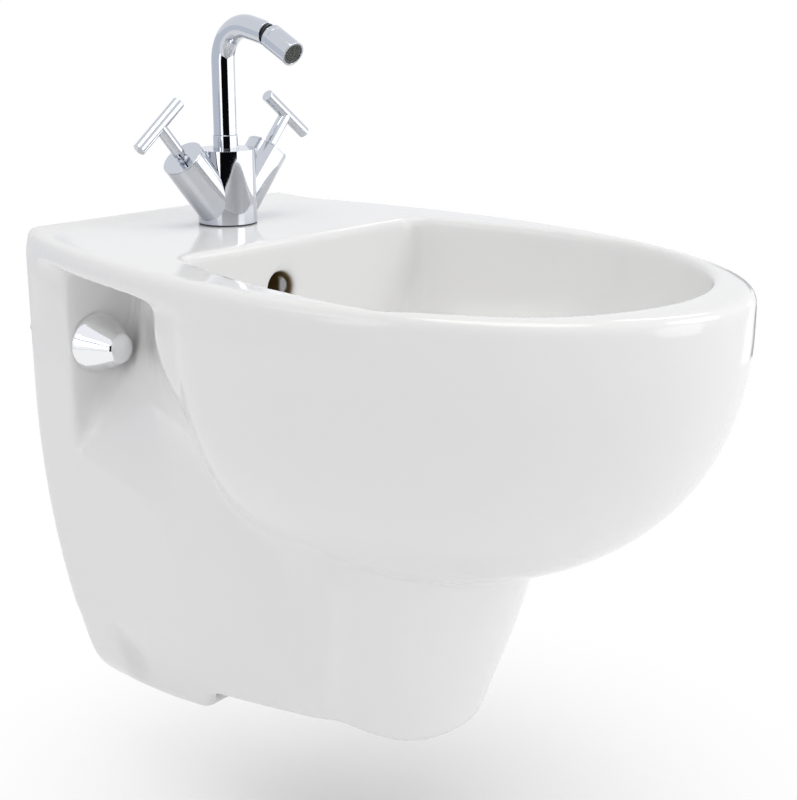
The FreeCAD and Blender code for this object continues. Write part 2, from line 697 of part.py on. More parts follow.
def water_ways(side, start, end):
    """The cold or hot way in and the way out, side by side through the discs."""
    ways = []
    for offset in (-PASSAGE_OFFSET, PASSAGE_OFFSET):
        step = bar_axis(side) * offset
        ways.append(cylinder(PASSAGE_R, along(side, start) + step, along(side, end) + step))
    return ways


def tap_body():
    """The cast body: a round column with two arms."""
    pieces = [cylinder(TAP_R, BODY_FOOT, BODY_TOP)]
    for side in SIDES:
        pieces.append(arm_bar(ARM_R, side, 0, COVER_FOOT))
    body = joined(pieces)
    below = Part.makeBox(4 * TAP_R, 4 * TAP_R, 2 * TAP_R,
                         BODY_FOOT - V(2 * TAP_R, 2 * TAP_R, 2 * TAP_R))
    collar_floor = BODY_TOP + DOWN * (COLLAR_DEPTH + SLIP_RING_HEIGHT)
    bore_floor = DECK + UP * BORE_FLOOR
    cuts = [below, cylinder(SPIGOT_FOOT_R + RUN_GAP, bore_floor, BODY_TOP + UP * PAST),
            cylinder(COUNTERBORE_R, collar_floor, BODY_TOP + UP * PAST)]
    hollow_top = BODY_FOOT + UP * TAP_HOLLOW
    cuts.append(cylinder(TAP_HOLE_R, BODY_FOOT + DOWN * PAST, hollow_top))
    stud_foot = BODY_FOOT + V(0, TAP_STUD_BACK, 0)
    cuts.append(cylinder(TAP_STUD_R + SEAT_GAP, stud_foot + DOWN * PAST, stud_foot + UP * TAP_STUD_DEPTH))
    for side in SIDES:
        port = hollow_top + V(side * PORT_X, 0, 0)
        inlet = along(side, HEADWORK_START) + bar_axis(side) * (side * PASSAGE_OFFSET)
        outlet = along(side, HEADWORK_START) - bar_axis(side) * (side * PASSAGE_OFFSET)
        cuts.append(cylinder(PORT_R, port + DOWN * PAST, port + UP * PORT_DEPTH))
        cuts.append(cylinder(PASSAGE_R, port + UP * (PORT_DEPTH - PORT_R),
                             inlet + arm_axis(side) * PASSAGE_R))
        cuts.append(cylinder(PASSAGE_R, bore_floor + UP * PASSAGE_R, outlet + arm_axis(side) * PASSAGE_R))
        cuts.append(arm_bar(HEADWORK_R, side, HEADWORK_START, ARM_LENGTH))
    return body.cut(cuts)


def tap_base_gasket():
    """The thin black ring between tap and deck."""
    return ring(TAP_R - GASKET_INSET, TAP_HOLE_R, DECK + UP * SEAT_GAP, BODY_FOOT + DOWN * SEAT_GAP)


def tap_stud():
    """The threaded rod that pulls the tap on to the deck."""
    top = BODY_FOOT + V(0, TAP_STUD_BACK, TAP_STUD_DEPTH - SEAT_GAP)
    return cylinder(TAP_STUD_R, top, top + DOWN * TAP_STUD_LENGTH)


def horseshoe(drop, thickness):
    """A plate under the deck with a hole for the rod and a slot for the hoses."""
    start = DECK + DOWN * (DECK_THICKNESS + drop + SEAT_GAP)
    end = DECK + DOWN * (DECK_THICKNESS + drop + thickness)
    plate = cylinder(HORSESHOE_R, start, end)
    slot = V(0, -HORSESHOE_SLOT_FRONT, 0)
    back = V(0, TAP_STUD_BACK, 0)
    open_end = Part.makeBox(2 * HORSESHOE_SLOT_R, HORSESHOE_R, thickness + 2 * PAST,
                            end + slot + V(-HORSESHOE_SLOT_R, -HORSESHOE_R, -PAST))
    cuts = [cylinder(HORSESHOE_SLOT_R, start + slot + UP * PAST, end + slot + DOWN * PAST), open_end,
            cylinder(TAP_STUD_R + FREE_GAP, start + back + UP * PAST, end + back + DOWN * PAST)]
    return plate.cut(cuts)


def tap_nut():
    """The nut on the rod, under both plates."""
    drop = DECK_THICKNESS + RUBBER_HORSESHOE + STEEL_HORSESHOE + SEAT_GAP
    start = DECK + V(0, TAP_STUD_BACK, -drop)
    nut = hexagon(TAP_NUT_ACROSS_FLATS, TAP_NUT_HEIGHT, start, DOWN)
    end = start + DOWN * (TAP_NUT_HEIGHT + PAST)
    return nut.cut(cylinder(TAP_STUD_R + SEAT_GAP, start + UP * PAST, end))


def arm_cover(side):
    """The flat cover on one arm, with a small collar round the spindle."""
    cover = arm_bar(ARM_R, side, COVER_FOOT + SEAT_GAP, ARM_LENGTH)
    spigot = arm_bar(HEADWORK_R - SEAT_GAP, side, COVER_FOOT - COVER_SPIGOT + SEAT_GAP, ARM_LENGTH)
    collar = arm_bar(COVER_RING_R, side, COVER_FOOT, ARM_LENGTH + COVER_RING)
    hole = arm_bar(SPINDLE_R + FREE_GAP, side, HEADWORK_START, ARM_LENGTH + COVER_RING + PAST)
    return joined([cover, spigot, collar]).cut(hole)


def headwork(side):
    """The brass sleeve that carries the discs and the spindle."""
    end = COVER_FOOT - COVER_SPIGOT
    chamber = SPINDLE_START + SPINDLE_FOOT + RUN_GAP
    body = arm_bar(HEADWORK_R - SEAT_GAP, side, DISC_FOOT + SEAT_GAP, end)
    cuts = [arm_bar(DISC_R + FREE_GAP, side, HEADWORK_START, chamber),
            arm_bar(SPINDLE_R + RUN_GAP, side, HEADWORK_START, ARM_LENGTH)]
    return body.cut(cuts)


def headwork_seal(side):
    """The rubber plate under the fixed disc."""
    plate = arm_bar(HEADWORK_R - SEAT_GAP, side, HEADWORK_START + SEAT_GAP, DISC_FOOT)
    return plate.cut(water_ways(side, HEADWORK_START - PAST, DISC_FOOT + PAST))


def fixed_disc(side):
    """The ceramic disc that stands still."""
    disc = arm_bar(DISC_R, side, DISC_FOOT + SEAT_GAP, TURNING_FOOT)
    return disc.cut(water_ways(side, DISC_FOOT - PAST, TURNING_FOOT + PAST))


def turning_disc(side):
    """The ceramic disc that turns, with a trough that joins both ways when it is open."""
    disc = arm_bar(DISC_R, side, TURNING_FOOT + SEAT_GAP, SPINDLE_START)
    trough = Part.makeBox(TROUGH_WIDTH, TROUGH_LENGTH, TROUGH_DEPTH + PAST,
                          V(-TROUGH_WIDTH / 2, -TROUGH_LENGTH / 2, -PAST))
    trough.Placement = FreeCAD.Placement(along(side, TURNING_FOOT), FreeCAD.Rotation(UP, arm_axis(side)))
    return disc.cut(trough)


def spindle(side):
    """The spindle and its foot, from the turning disc up into the handle."""
    end = STEM_FOOT + SPINDLE_IN_STEM
    foot = arm_bar(SPINDLE_FOOT_R, side, SPINDLE_START + SEAT_GAP, SPINDLE_START + SPINDLE_FOOT)
    return joined([foot, arm_bar(SPINDLE_R, side, SPINDLE_START + SEAT_GAP, end)])


def handle_stem(side):
    """The round stem between spindle and bar, saddled to the bar."""
    stem = arm_bar(STEM_R, side, STEM_FOOT, BAR_MIDDLE)
    bar = bar_axis(side) * BAR_LENGTH
    middle = along(side, BAR_MIDDLE)
    stem = stem.cut(cylinder(BAR_R + SEAT_GAP, middle - bar, middle + bar))
    stem = joined([stem, arm_bar(SPIGOT_R, side, BAR_MIDDLE - 2 * BAR_R, BAR_MIDDLE)])
    socket = arm_bar(SPINDLE_R + SEAT_GAP, side, STEM_FOOT - PAST, STEM_FOOT + SPINDLE_IN_STEM + SEAT_GAP)
    screw_at = along(side, STEM_FOOT + GRUB_HEIGHT)
    screw = cylinder(GRUB_R + SEAT_GAP, screw_at, screw_at - OUT * (STEM_R + PAST))
    return stem.cut([socket, screw])


def handle_bar(side):
    """The cross bar of one handle."""
    half = bar_axis(side) * (BAR_LENGTH / 2)
    middle = along(side, BAR_MIDDLE)
    bar = cylinder(BAR_R, middle - half, middle + half)
    ends = [edge for edge in bar.Edges if isinstance(edge.Curve, Part.Circle)]
    bar = bar.makeFillet(BAR_ROUND, ends)
    return bar.cut(arm_bar(SPIGOT_R + SEAT_GAP, side, STEM_FOOT, BAR_MIDDLE + SEAT_GAP))


def grub_screw(side):
    """The small screw that clamps a stem to its spindle, on the wall side."""
    middle = along(side, STEM_FOOT + GRUB_HEIGHT)
    return cylinder(GRUB_R, middle - OUT * (SPINDLE_R + SEAT_GAP), middle - OUT * (STEM_R - SEAT_GAP))


def spigot_foot():
    """The lowest point of the spout's spigot."""
    return BODY_TOP + DOWN * (COLLAR_DEPTH + SPIGOT_FOOT_LENGTH)


def spout_collar():
    """The turned piece under the spout tube, with the spigot that turns in the body."""
    seat = BODY_TOP + DOWN * COLLAR_DEPTH
    top = BODY_TOP + UP * COLLAR_HEIGHT
    upstand = SPOUT_R - SPOUT_WALL - SEAT_GAP
    collar = joined([cylinder(COUNTERBORE_R - FREE_GAP, seat, top),
                     cylinder(SPIGOT_FOOT_R, spigot_foot(), top),
                     cylinder(upstand, seat, top + UP * COLLAR_UPSTAND)])
    cuts = [cylinder(SPIGOT_FOOT_BORE, spigot_foot() + DOWN * PAST, top + UP * (COLLAR_UPSTAND + PAST))]
    for height in O_RING_HEIGHTS:
        low = spigot_foot() + UP * (height - GROOVE_HEIGHT / 2)
        cuts.append(ring(SPIGOT_FOOT_R + PAST, SPIGOT_FOOT_R - GROOVE_DEPTH, low, low + UP * GROOVE_HEIGHT))
    return collar.cut(cuts)


def spout_seals():
    """Two rubber rings in the spigot's grooves."""
    seals = []
    for height in O_RING_HEIGHTS:
        middle = spigot_foot() + UP * height
        seals.append(Part.makeTorus(SPIGOT_FOOT_R - GROOVE_DEPTH / 2, O_RING_R, middle, UP))
    return Part.makeCompound(seals)


def spout_slip_ring():
    """The plastic ring the spout turns on."""
    seat = BODY_TOP + DOWN * COLLAR_DEPTH
    low = seat + DOWN * (SLIP_RING_HEIGHT - RUN_GAP)
    return ring(SLIP_RING_R, SPIGOT_FOOT_R + SEAT_GAP, low, seat + DOWN * SEAT_GAP)


def spout_bar(radius, foot, past):
    """A bar that follows the spout: up, round the bend and along its tail."""
    bend = Part.Face(Part.Wire(Part.makeCircle(radius, BEND_START, UP)))
    bend = bend.revolve(BEND_CENTRE, V(1, 0, 0), 90 + SPOUT_DIP)
    return joined([cylinder(radius, foot, BEND_START), bend,
                   cylinder(radius, BEND_END, SPOUT_END + END_AXIS * past)])


def spout_tube():
    """The bent spout tube."""
    foot = BODY_TOP + UP * (COLLAR_HEIGHT + SEAT_GAP)
    return spout_bar(SPOUT_R, foot, 0).cut(spout_bar(SPOUT_R - SPOUT_WALL, foot + DOWN * PAST, PAST))


def ball_socket():
    """The black plastic ring in the spout's end that holds the ball and can turn."""
    outer = SPOUT_R - SPOUT_WALL - RUN_GAP
    back = BALL - END_AXIS * SOCKET_BACK
    front = BALL + END_AXIS * SOCKET_FRONT
    socket = ring(outer, SOCKET_BORE_R, back, front)
    return socket.cut(Part.makeSphere(BALL_R + RUN_GAP, BALL))


def nozzle_at(length):
    """A point on the nozzle's axis, measured from the middle of the ball."""
    return BALL + NOZZLE_AXIS * length


def nozzle_ball():
    """The drilled ball and its threaded neck."""
    neck = cylinder(BALL_NECK_R, BALL, nozzle_at(NOZZLE_FLOOR))
    bore = cylinder(BALL_BORE_R, nozzle_at(-2 * BALL_R), nozzle_at(NOZZLE_END))
    return joined([Part.makeSphere(BALL_R, BALL), neck]).cut(bore)


def nozzle_ring():
    """The narrow ring behind the nozzle's housing."""
    end = nozzle_at(NOZZLE_SHOULDER - SEAT_GAP)
    return ring(NOZZLE_R, NOZZLE_R - NOZZLE_RING_WALL, nozzle_at(NOZZLE_START), end)


def nozzle_housing():
    """The round housing that screws on to the ball's neck."""
    lip_r = NOZZLE_R - NOZZLE_RING_WALL - SEAT_GAP
    housing = cylinder(NOZZLE_R, nozzle_at(NOZZLE_SHOULDER), nozzle_at(NOZZLE_END))
    lip = ring(lip_r, lip_r - NOZZLE_LIP_WALL, nozzle_at(NOZZLE_SHOULDER - NOZZLE_LIP),
               nozzle_at(NOZZLE_FLOOR))
    cuts = [cylinder(NOZZLE_R - NOZZLE_WALL, nozzle_at(NOZZLE_FLOOR), nozzle_at(NOZZLE_END + PAST)),
            cylinder(BALL_NECK_R + SEAT_GAP, BALL, nozzle_at(NOZZLE_END))]
    return joined([housing, lip]).cut(cuts)


def aerator_washer():
    """The rubber washer behind the aerator."""
    outer = NOZZLE_R - NOZZLE_WALL - SEAT_GAP
    return ring(outer, BALL_BORE_R, nozzle_at(NOZZLE_FLOOR + SEAT_GAP), nozzle_at(INSERT_START - SEAT_GAP))


def around(count, radius, start_angle):
    """Offsets on a circle square to the nozzle's axis."""
    across = V(1, 0, 0)
    other = NOZZLE_AXIS.cross(across)
    offsets = []
    for number in range(count):
        angle = start_angle + 2 * math.pi * number / count
        offsets.append((across * math.cos(angle) + other * math.sin(angle)) * radius)
    return offsets


def aerator_insert():
    """The cup with jet holes that mixes air into the water."""
    outer = NOZZLE_R - NOZZLE_WALL - SEAT_GAP
    cup = cylinder(outer, nozzle_at(INSERT_START), nozzle_at(INSERT_END))
    cuts = [cylinder(outer - AERATOR_WALL, nozzle_at(INSERT_START + AERATOR_BACK), nozzle_at(NOZZLE_END))]
    for offset in around(AERATOR_HOLES, AERATOR_HOLE_CIRCLE, 0):
        cuts.append(cylinder(AERATOR_HOLE_R, nozzle_at(INSERT_START - PAST) + offset,
                             nozzle_at(INSERT_END) + offset))
    return cup.cut(cuts)


def aerator_screen():
    """The fine round screen at the nozzle's mouth."""
    outer = NOZZLE_R - NOZZLE_WALL - AERATOR_WALL - 2 * SEAT_GAP
    start = INSERT_END - SCREEN_THICKNESS
    disc = cylinder(outer, nozzle_at(start), nozzle_at(INSERT_END))
    cuts = []
    for number in range(SCREEN_RINGS):
        holes = max(1, 6 * number)
        for offset in around(holes, SCREEN_PITCH * number, 0):
            cuts.append(cylinder(SCREEN_HOLE_R, nozzle_at(start - PAST) + offset,
                                 nozzle_at(NOZZLE_END) + offset))
    return disc.cut(cuts)


def below_floor(drop):
    """A point on the drain's axis, measured down from the basin's floor."""
    return DRAIN + DOWN * drop


def waste_gasket():
    """The rubber ring between the basin and the waste's flange."""
    return ring(WASTE_GASKET_R, DRAIN_HOLE_R, below_floor(-SEAT_GAP), below_floor(SEAT_GAP - WASTE_GASKET))


def waste_flange():
    """The round flange in the basin and the tube that screws into the waste's body."""
    flange = cylinder(WASTE_FLANGE_R, below_floor(-WASTE_GASKET), below_floor(-WASTE_TOP))
    tube = cylinder(WASTE_TUBE_R, below_floor(-WASTE_GASKET), below_floor(WASTE_TUBE_LENGTH))
    hole = cylinder(WASTE_TUBE_R - WASTE_TUBE_WALL, below_floor(-WASTE_TOP - PAST),
                    below_floor(WASTE_TUBE_LENGTH + PAST))
    return joined([flange, tube]).cut(hole)


def waste_body():
    """The waste's tailpiece, with openings for the overflow and a plain outlet."""
    end = below_floor(OUTLET_DROP + OUTLET_LENGTH)
    body = joined([cylinder(WASTE_BODY_R, below_floor(WASTE_BODY_TOP), below_floor(OUTLET_DROP)),
                   cylinder(OUTLET_R, below_floor(OUTLET_DROP), end)])
    cuts = [cylinder(WASTE_TUBE_R + SEAT_GAP, DRAIN, end + DOWN * PAST)]
    level = below_floor(CHINA_WALL + DUCT_R)
    for number in range(OVERFLOW_SLOTS):
        turn = 2 * math.pi * number / OVERFLOW_SLOTS
        way = V(math.cos(turn), math.sin(turn), 0) * (WASTE_BODY_R + PAST)
        cuts.append(cylinder(OVERFLOW_SLOT_R, level, level + way))
    return body.cut(cuts)


def lower_gasket():
    """The thick rubber ring under the china."""
    return ring(LOWER_GASKET_R, WASTE_BODY_R + SEAT_GAP, below_floor(DRAIN_BOSS + SEAT_GAP),
                below_floor(NUT_DROP))


def back_nut():
    """The large nut that clamps the waste to the china."""
    nut = hexagon(BACK_NUT_ACROSS_FLATS, BACK_NUT, below_floor(NUT_DROP + SEAT_GAP), DOWN)
    hole = cylinder(WASTE_BODY_R + SEAT_GAP, below_floor(NUT_DROP - PAST),
                    below_floor(NUT_DROP + BACK_NUT + PAST))
    return nut.cut(hole)


def drain_plug():
    """The domed plug, shown raised."""
    dome_r = (PLUG_R ** 2 + PLUG_DOME ** 2) / (2 * PLUG_DOME)
    crown = below_floor(-PLUG_UNDER - PLUG_THICKNESS - PLUG_DOME)
    plug = cylinder(PLUG_R, below_floor(-PLUG_UNDER), crown)
    plug = plug.common(Part.makeSphere(dome_r, crown + DOWN * dome_r))
    cuts = [ring(PLUG_SEAL_R + SEAT_GAP, PLUG_SEAL_INNER_R - SEAT_GAP, below_floor(-PLUG_UNDER + PAST),
                 below_floor(-PLUG_UNDER - PLUG_SEAL_GROOVE - SEAT_GAP)),
            cylinder(PLUG_STEM_R + SEAT_GAP, below_floor(0),
                     below_floor(-PLUG_UNDER - PLUG_STEM_IN_PLUG - SEAT_GAP))]
    return plug.cut(cuts)


def plug_seal():
    """The rubber ring under the plug."""
    top = PLUG_UNDER + PLUG_SEAL_GROOVE
    return ring(PLUG_SEAL_R, PLUG_SEAL_INNER_R, below_floor(PLUG_SEAL - top), below_floor(-top))


def guide_bore_floor():
    """How far the guide's blind bore lies below the basin's floor."""
    return GUIDE_TOP + GUIDE_LENGTH - GUIDE_BOTTOM


def plug_stem():
    """The stem that slides in the guide."""
    return cylinder(PLUG_STEM_R, below_floor(guide_bore_floor() - STEM_CLEAR),
                    below_floor(-PLUG_UNDER - PLUG_STEM_IN_PLUG))


def plug_guide():
    """The hub on three spokes inside the waste."""
    top = below_floor(GUIDE_TOP)
    bottom = below_floor(GUIDE_TOP + GUIDE_LENGTH)
    outer = WASTE_TUBE_R
    pieces = [ring(outer, outer - GUIDE_RING_WALL, top, bottom), cylinder(GUIDE_HUB_R, top, bottom)]
    for number in range(GUIDE_SPOKES):
        spoke = Part.makeBox(outer - GUIDE_RING_WALL / 2, GUIDE_SPOKE, GUIDE_LENGTH,
                             V(0, -GUIDE_SPOKE / 2, 0))
        spoke.rotate(V(0, 0, 0), UP, 360 * number / GUIDE_SPOKES)
        spoke.translate(bottom)
        pieces.append(spoke)
    bore = cylinder(PLUG_STEM_R + RUN_GAP, top + UP * PAST, below_floor(guide_bore_floor()))
    return joined(pieces).cut(bore)


def save_all():
    """Write every sub-part."""
    for make in (bidet_bowl, tap_body, tap_base_gasket, tap_stud, tap_nut, spout_collar, spout_seals,
                 spout_slip_ring, spout_tube, ball_socket, nozzle_ball, nozzle_ring, nozzle_housing,
                 aerator_washer, aerator_insert, aerator_screen, waste_gasket, waste_flange, waste_body,
                 lower_gasket, back_nut, drain_plug, plug_seal, plug_stem, plug_guide):
        save(make.__name__, make())
    for make in (wall_stud, stud_sleeve, cap_base, fixing_washer, fixing_nut, fixing_cap):
        save(make.__name__ + "s", pair(make))
    for side, word in zip(SIDES, ("left_", "right_")):
        for make in (arm_cover, headwork, headwork_seal, fixed_disc, turning_disc, spindle, handle_stem,
                     handle_bar, grub_screw):
            save(word + make.__name__, make(side))
    save("rubber_horseshoe", horseshoe(0, RUBBER_HORSESHOE))
    save("steel_horseshoe", horseshoe(RUBBER_HORSESHOE, STEEL_HORSESHOE))


if __name__ == "__main__":
    os.makedirs("parts", exist_ok=True)
    save_all()
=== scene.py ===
"""Wall-hung bidet: the looks of its china, tap, waste and wall fixings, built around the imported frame."""

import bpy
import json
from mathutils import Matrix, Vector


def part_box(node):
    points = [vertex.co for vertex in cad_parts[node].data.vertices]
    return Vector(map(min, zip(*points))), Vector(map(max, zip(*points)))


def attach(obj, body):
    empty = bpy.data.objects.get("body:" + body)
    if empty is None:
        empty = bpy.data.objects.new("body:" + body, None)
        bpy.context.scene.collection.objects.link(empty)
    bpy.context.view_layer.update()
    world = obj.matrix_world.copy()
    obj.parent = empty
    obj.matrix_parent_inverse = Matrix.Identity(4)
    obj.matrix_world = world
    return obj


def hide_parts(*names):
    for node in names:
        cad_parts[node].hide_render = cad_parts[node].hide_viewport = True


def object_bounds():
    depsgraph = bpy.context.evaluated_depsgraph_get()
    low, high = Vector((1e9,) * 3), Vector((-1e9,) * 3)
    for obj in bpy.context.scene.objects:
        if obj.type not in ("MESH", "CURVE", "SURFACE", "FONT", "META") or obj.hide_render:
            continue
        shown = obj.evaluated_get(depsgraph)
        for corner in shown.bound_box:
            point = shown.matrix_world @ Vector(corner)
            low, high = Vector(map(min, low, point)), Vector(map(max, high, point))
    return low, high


bl_info = {
    "name": "Wall-hung bidet",
    "version": (1, 0, 0),
    "blender": (4, 5, 0),
    "location": "View3D > Sidebar > Bidet",
    "description": "Glazed china, polished tap and waste, seals and wall fixings around the bidet's frame",
    "category": "Add Mesh",
}

import json
import math

import bmesh
import bpy
import numpy as np
from bpy.props import FloatProperty, FloatVectorProperty, IntProperty, PointerProperty
from mathutils import Vector

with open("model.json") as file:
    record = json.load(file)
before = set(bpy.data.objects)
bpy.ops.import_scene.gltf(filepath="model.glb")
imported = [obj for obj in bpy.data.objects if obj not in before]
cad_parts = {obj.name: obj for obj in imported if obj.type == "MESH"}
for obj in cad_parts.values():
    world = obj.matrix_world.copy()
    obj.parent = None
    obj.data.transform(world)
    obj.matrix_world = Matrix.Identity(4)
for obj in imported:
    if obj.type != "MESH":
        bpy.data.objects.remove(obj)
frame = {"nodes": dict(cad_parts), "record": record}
CAD_LOW, CAD_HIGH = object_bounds()
NODES = frame["nodes"]
SLOTS = {row["node"]: row["material_slot"] for row in frame["record"]["subparts"]}
BODIES = {node: body for body, nodes in frame["record"]["behaviour"]["bodies"].items() for node in nodes}

MM = 0.001
WELD = 0.002 * MM           # points of one node closer than this are one point
FLAT = math.radians(0.06)   # faces that meet flatter than this are one face
CREASE = math.radians(28)   # edges that fold more than this get a rounded edge

# The tap's middle line, where the studio's cards stand round it
TAP_Y = sum(corner.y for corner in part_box("tap_base_gasket")) / 2

# The wall studs: their distance from the middle, and where they get thinner inside the china
STUD_LOW, STUD_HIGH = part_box("wall_studs")
STUD_X = STUD_HIGH.x - (STUD_HIGH.z - STUD_LOW.z) / 2
STUD_STEP = -8 * MM
STUD_END_R = 5 * MM

# Rounded edges: their faces, and how much flat faces lead the shading
EDGE_STEPS = 2
METAL_STEPS = 3
FLAT_WEIGHT = 80

# Threads: points round a ring, rings to a turn, chamfer as a share of the depth, steepness of the flanks,
# and the pitch and depth on the tap's stud and on the wall studs
THREAD_SIDES = 40
THREAD_RINGS = 8
THREAD_CHAMFER = 1.6
THREAD_FLANK = 1.35
THREAD_CREASE = math.radians(40)
TAP_THREAD = (1.0 * MM, 0.55 * MM)
WALL_THREAD = (1.75 * MM, 0.95 * MM)

# Sockets of a Mix node that mixes colours
MIX_A, MIX_B, MIX_OUT = 6, 7, 2

# Roughness that skin without glaze has beyond the glaze's
BARE_ROUGHNESS = 0.6

# The overflow hole in the back of the basin and the duct behind it
OVERFLOW = Vector((-26 * MM, -177 * MM, 47 * MM))
OVERFLOW_R = 14.2 * MM
DUCT_BEHIND = 24 * MM
DUCT_R = 15.5 * MM
DUCT_LOW = -60 * MM
DUCT_FADE = 1 * MM
# Where the overflow's painted shade fades in: across the hole's edge and along its depth
SHADE_EDGE_FADE = 1.5 * MM
SHADE_DEPTH = (-1 * MM, 4 * MM)

# Holes in the china keep their size: nothing is blended as near as this
HOLE_CLEAR = 21 * MM
HOLE_FADE = 7 * MM
HOLE_FRONT = -6 * MM

# A fold in the china is a hollow from this share of the points' distance on, and fully so after the rise
HOLLOW_START = 0.035
HOLLOW_RISE = 0.05

# How far a point moves towards its neighbours in one round
RELAX_STEP = 0.5

# Stretches over which the china's smoothing sets in, in metres: in the side recess, where less of it is
# done, under the bowl's front, along the rim's lower edge over the recess, and round the foot
RECESS_FRONT = (-0.19, -0.15)
RECESS_BACK = (0.06, 0.09)
RECESS_HOLD = 0.65
NOSE_OUT = (0.28, 0.36)
NOSE_TOP = -0.06
CORNER_SIDE = (0.1, 0.12)
CORNER_FRONT = (-0.24, -0.18)
CORNER_BACK = (0.004, 0.014)
CORNER_LOW = (0.015, 0.035)
CORNER_HIGH = (-0.084, -0.074)
CORNER_PULL = 0.9
FOOT_DOWN = (0.236, 0.252)
FOOT_PULL = 0.8

# Skin without glaze: against the wall and under the foot, by place and by the way that it faces
WALL_SKIN = -0.8 * MM
WALL_FACING = 0.8
SOLE_Z = -0.24
SOLE_FACING = -0.93
SOLE_Y = -0.13

# The floor: its radius and sides, and the distances over which it turns white
FLOOR_R = 9.0
FLOOR_SIDES = 96
FLOOR_ROUGHNESS = 0.8
FLOOR_FADE = (-0.15, 0.45)

# The room's light by colour, what polished pieces mirror of the room, and the lamps
SKY_TINT = (1, 0.99, 1.03)
MIRRORED_ROOM = (0.95, 0.965, 1.0, 1)
LAMP_AIM = (0, -0.28, 0)
MAIN_LAMP_AT = (1.5, -2.3, 1.9)
FRONT_LAMP_AT = (0.6, -3.0, 0.3)
SIDE_LAMP_AT = (-2.6, 0.5, 0.6)
TOP_LAMP_AT = (-0.5, -0.5, 2.6)
TOP_LAMP_COLOUR = (1, 0.995, 0.93)

# The cards' distance from the tap, and how far off something has to be to mirror them
CARD_R = 1.6
CARD_STEPS = 24
CARD_NEAR = 1.5
CARD_FAR = 1.85
GREY_NEAR = 1.645
GLINT_FAR = 2.6

# The cards' arcs in degrees round the tap, their heights and their colours
DARK_ARC = (207, 272)
LEFT_WHITE_ARC = (189, 207)
RIGHT_WHITE_ARC = (272, 350)
RIGHT_GREY_ARC = (350, 378)
HIGH_ARC = (-8, 18)
LEFT_BLUE_ARC = (60, 189)
CARD_TOP = 0.35
GREY_TOP = 0.3
BLUE_TOP = 0.5
GLINT_HEIGHTS = (1.3, 1.75)
CARD_BLACK = (0.004, 0.004, 0.005)
CARD_WHITE = (1, 1, 1)
CARD_GREY = (0.17, 0.18, 0.20)
CARD_BLUE = (0.74, 0.78, 0.86)

# The photo's camera
CAMERA_AT = (-0.7975, -1.01996, 0.28704)
CAMERA_FORWARD = Vector((0.70257, 0.65503, -0.27808))
SENSOR_WIDTH = 36.0


# Mesh helpers

def final_mesh(piece):
    """Apply the modifiers of a piece to its mesh."""
    depsgraph = bpy.context.evaluated_depsgraph_get()
    mesh = bpy.data.meshes.new_from_object(piece.evaluated_get(depsgraph), depsgraph=depsgraph)
    old = piece.data
    piece.modifiers.clear()
    piece.data = mesh
    bpy.data.meshes.remove(old)
    mesh.name = piece.name


def place(piece, node, material):
    """Let a piece stand for its CAD node: same body, same finish slot."""
    piece.data.materials.clear()
    piece.data.materials.append(material)
    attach(piece, BODIES[node])
    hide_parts(node)


def new_piece(name, mesh):
    """A new object in the scene."""
    piece = bpy.data.objects.new(name, mesh)
    bpy.context.scene.collection.objects.link(piece)
    return piece


def welded_copy(node):
    """The mesh of a CAD node as one closed skin with plain flat faces."""
    mesh = NODES[node].data.copy()
    work = bmesh.new()
    work.from_mesh(mesh)
    bmesh.ops.remove_doubles(work, verts=work.verts, dist=WELD)
    bmesh.ops.dissolve_limit(work, angle_limit=FLAT, verts=work.verts, edges=work.edges)
    work.to_mesh(mesh)
    work.free()
    for layer in list(mesh.uv_layers):
        mesh.uv_layers.remove(layer)
    if mesh.has_custom_normals:
        mesh.attributes.remove(mesh.attributes["custom_normal"])
    return mesh


def edged_piece(node, edge, material, steps):
    """A piece with the shape of its node, whose sharp edges are broken by a small round."""
    piece = new_piece("finished_" + node, welded_copy(node))
    piece.data.shade_smooth()
    soften = piece.modifiers.new("Edge", "BEVEL")
    soften.width = edge
    soften.segments = steps
    soften.limit_method = "ANGLE"
    soften.angle_limit = CREASE
    soften.use_clamp_overlap = True
    soften.miter_outer = "MITER_ARC"
    weigh = piece.modifiers.new("Flats", "WEIGHTED_NORMAL")
    weigh.mode = "FACE_AREA_WITH_ANGLE"
    weigh.weight = FLAT_WEIGHT
    final_mesh(piece)
    place(piece, node, material)


# Shader helpers

def add(tree, kind, at, **values):
    """A new node with its settings and the values of its sockets."""
    node = tree.nodes.new(kind)
    node.location = at
    for key, value in values.items():
        if key in node.inputs:
            node.inputs[key].default_value = value
        else:
            setattr(node, key, value)
    return node


def sum_or_product(tree, operation, at, first, second):
    """A math node between two sockets or numbers."""
    node = add(tree, "ShaderNodeMath", at, operation=operation)
    for number, value in enumerate((first, second)):
        if isinstance(value, (int, float)):
            node.inputs[number].default_value = value
        else:
            tree.links.new(value, node.inputs[number])
    return node.outputs[0]


def new_group(name, inputs, outputs):
    """An empty shader node group with named sockets."""
    group = bpy.data.node_groups.new(name, "ShaderNodeTree")
    for label, kind, value in inputs:
        socket = group.interface.new_socket(label, in_out="INPUT", socket_type="NodeSocket" + kind)
        socket.default_value = value
    for label, kind in outputs:
        group.interface.new_socket(label, in_out="OUTPUT", socket_type="NodeSocket" + kind)
    entry = add(group, "NodeGroupInput", (-900, 0))
    leave = add(group, "NodeGroupOutput", (700, 0))
    return group, entry.outputs, leave.inputs


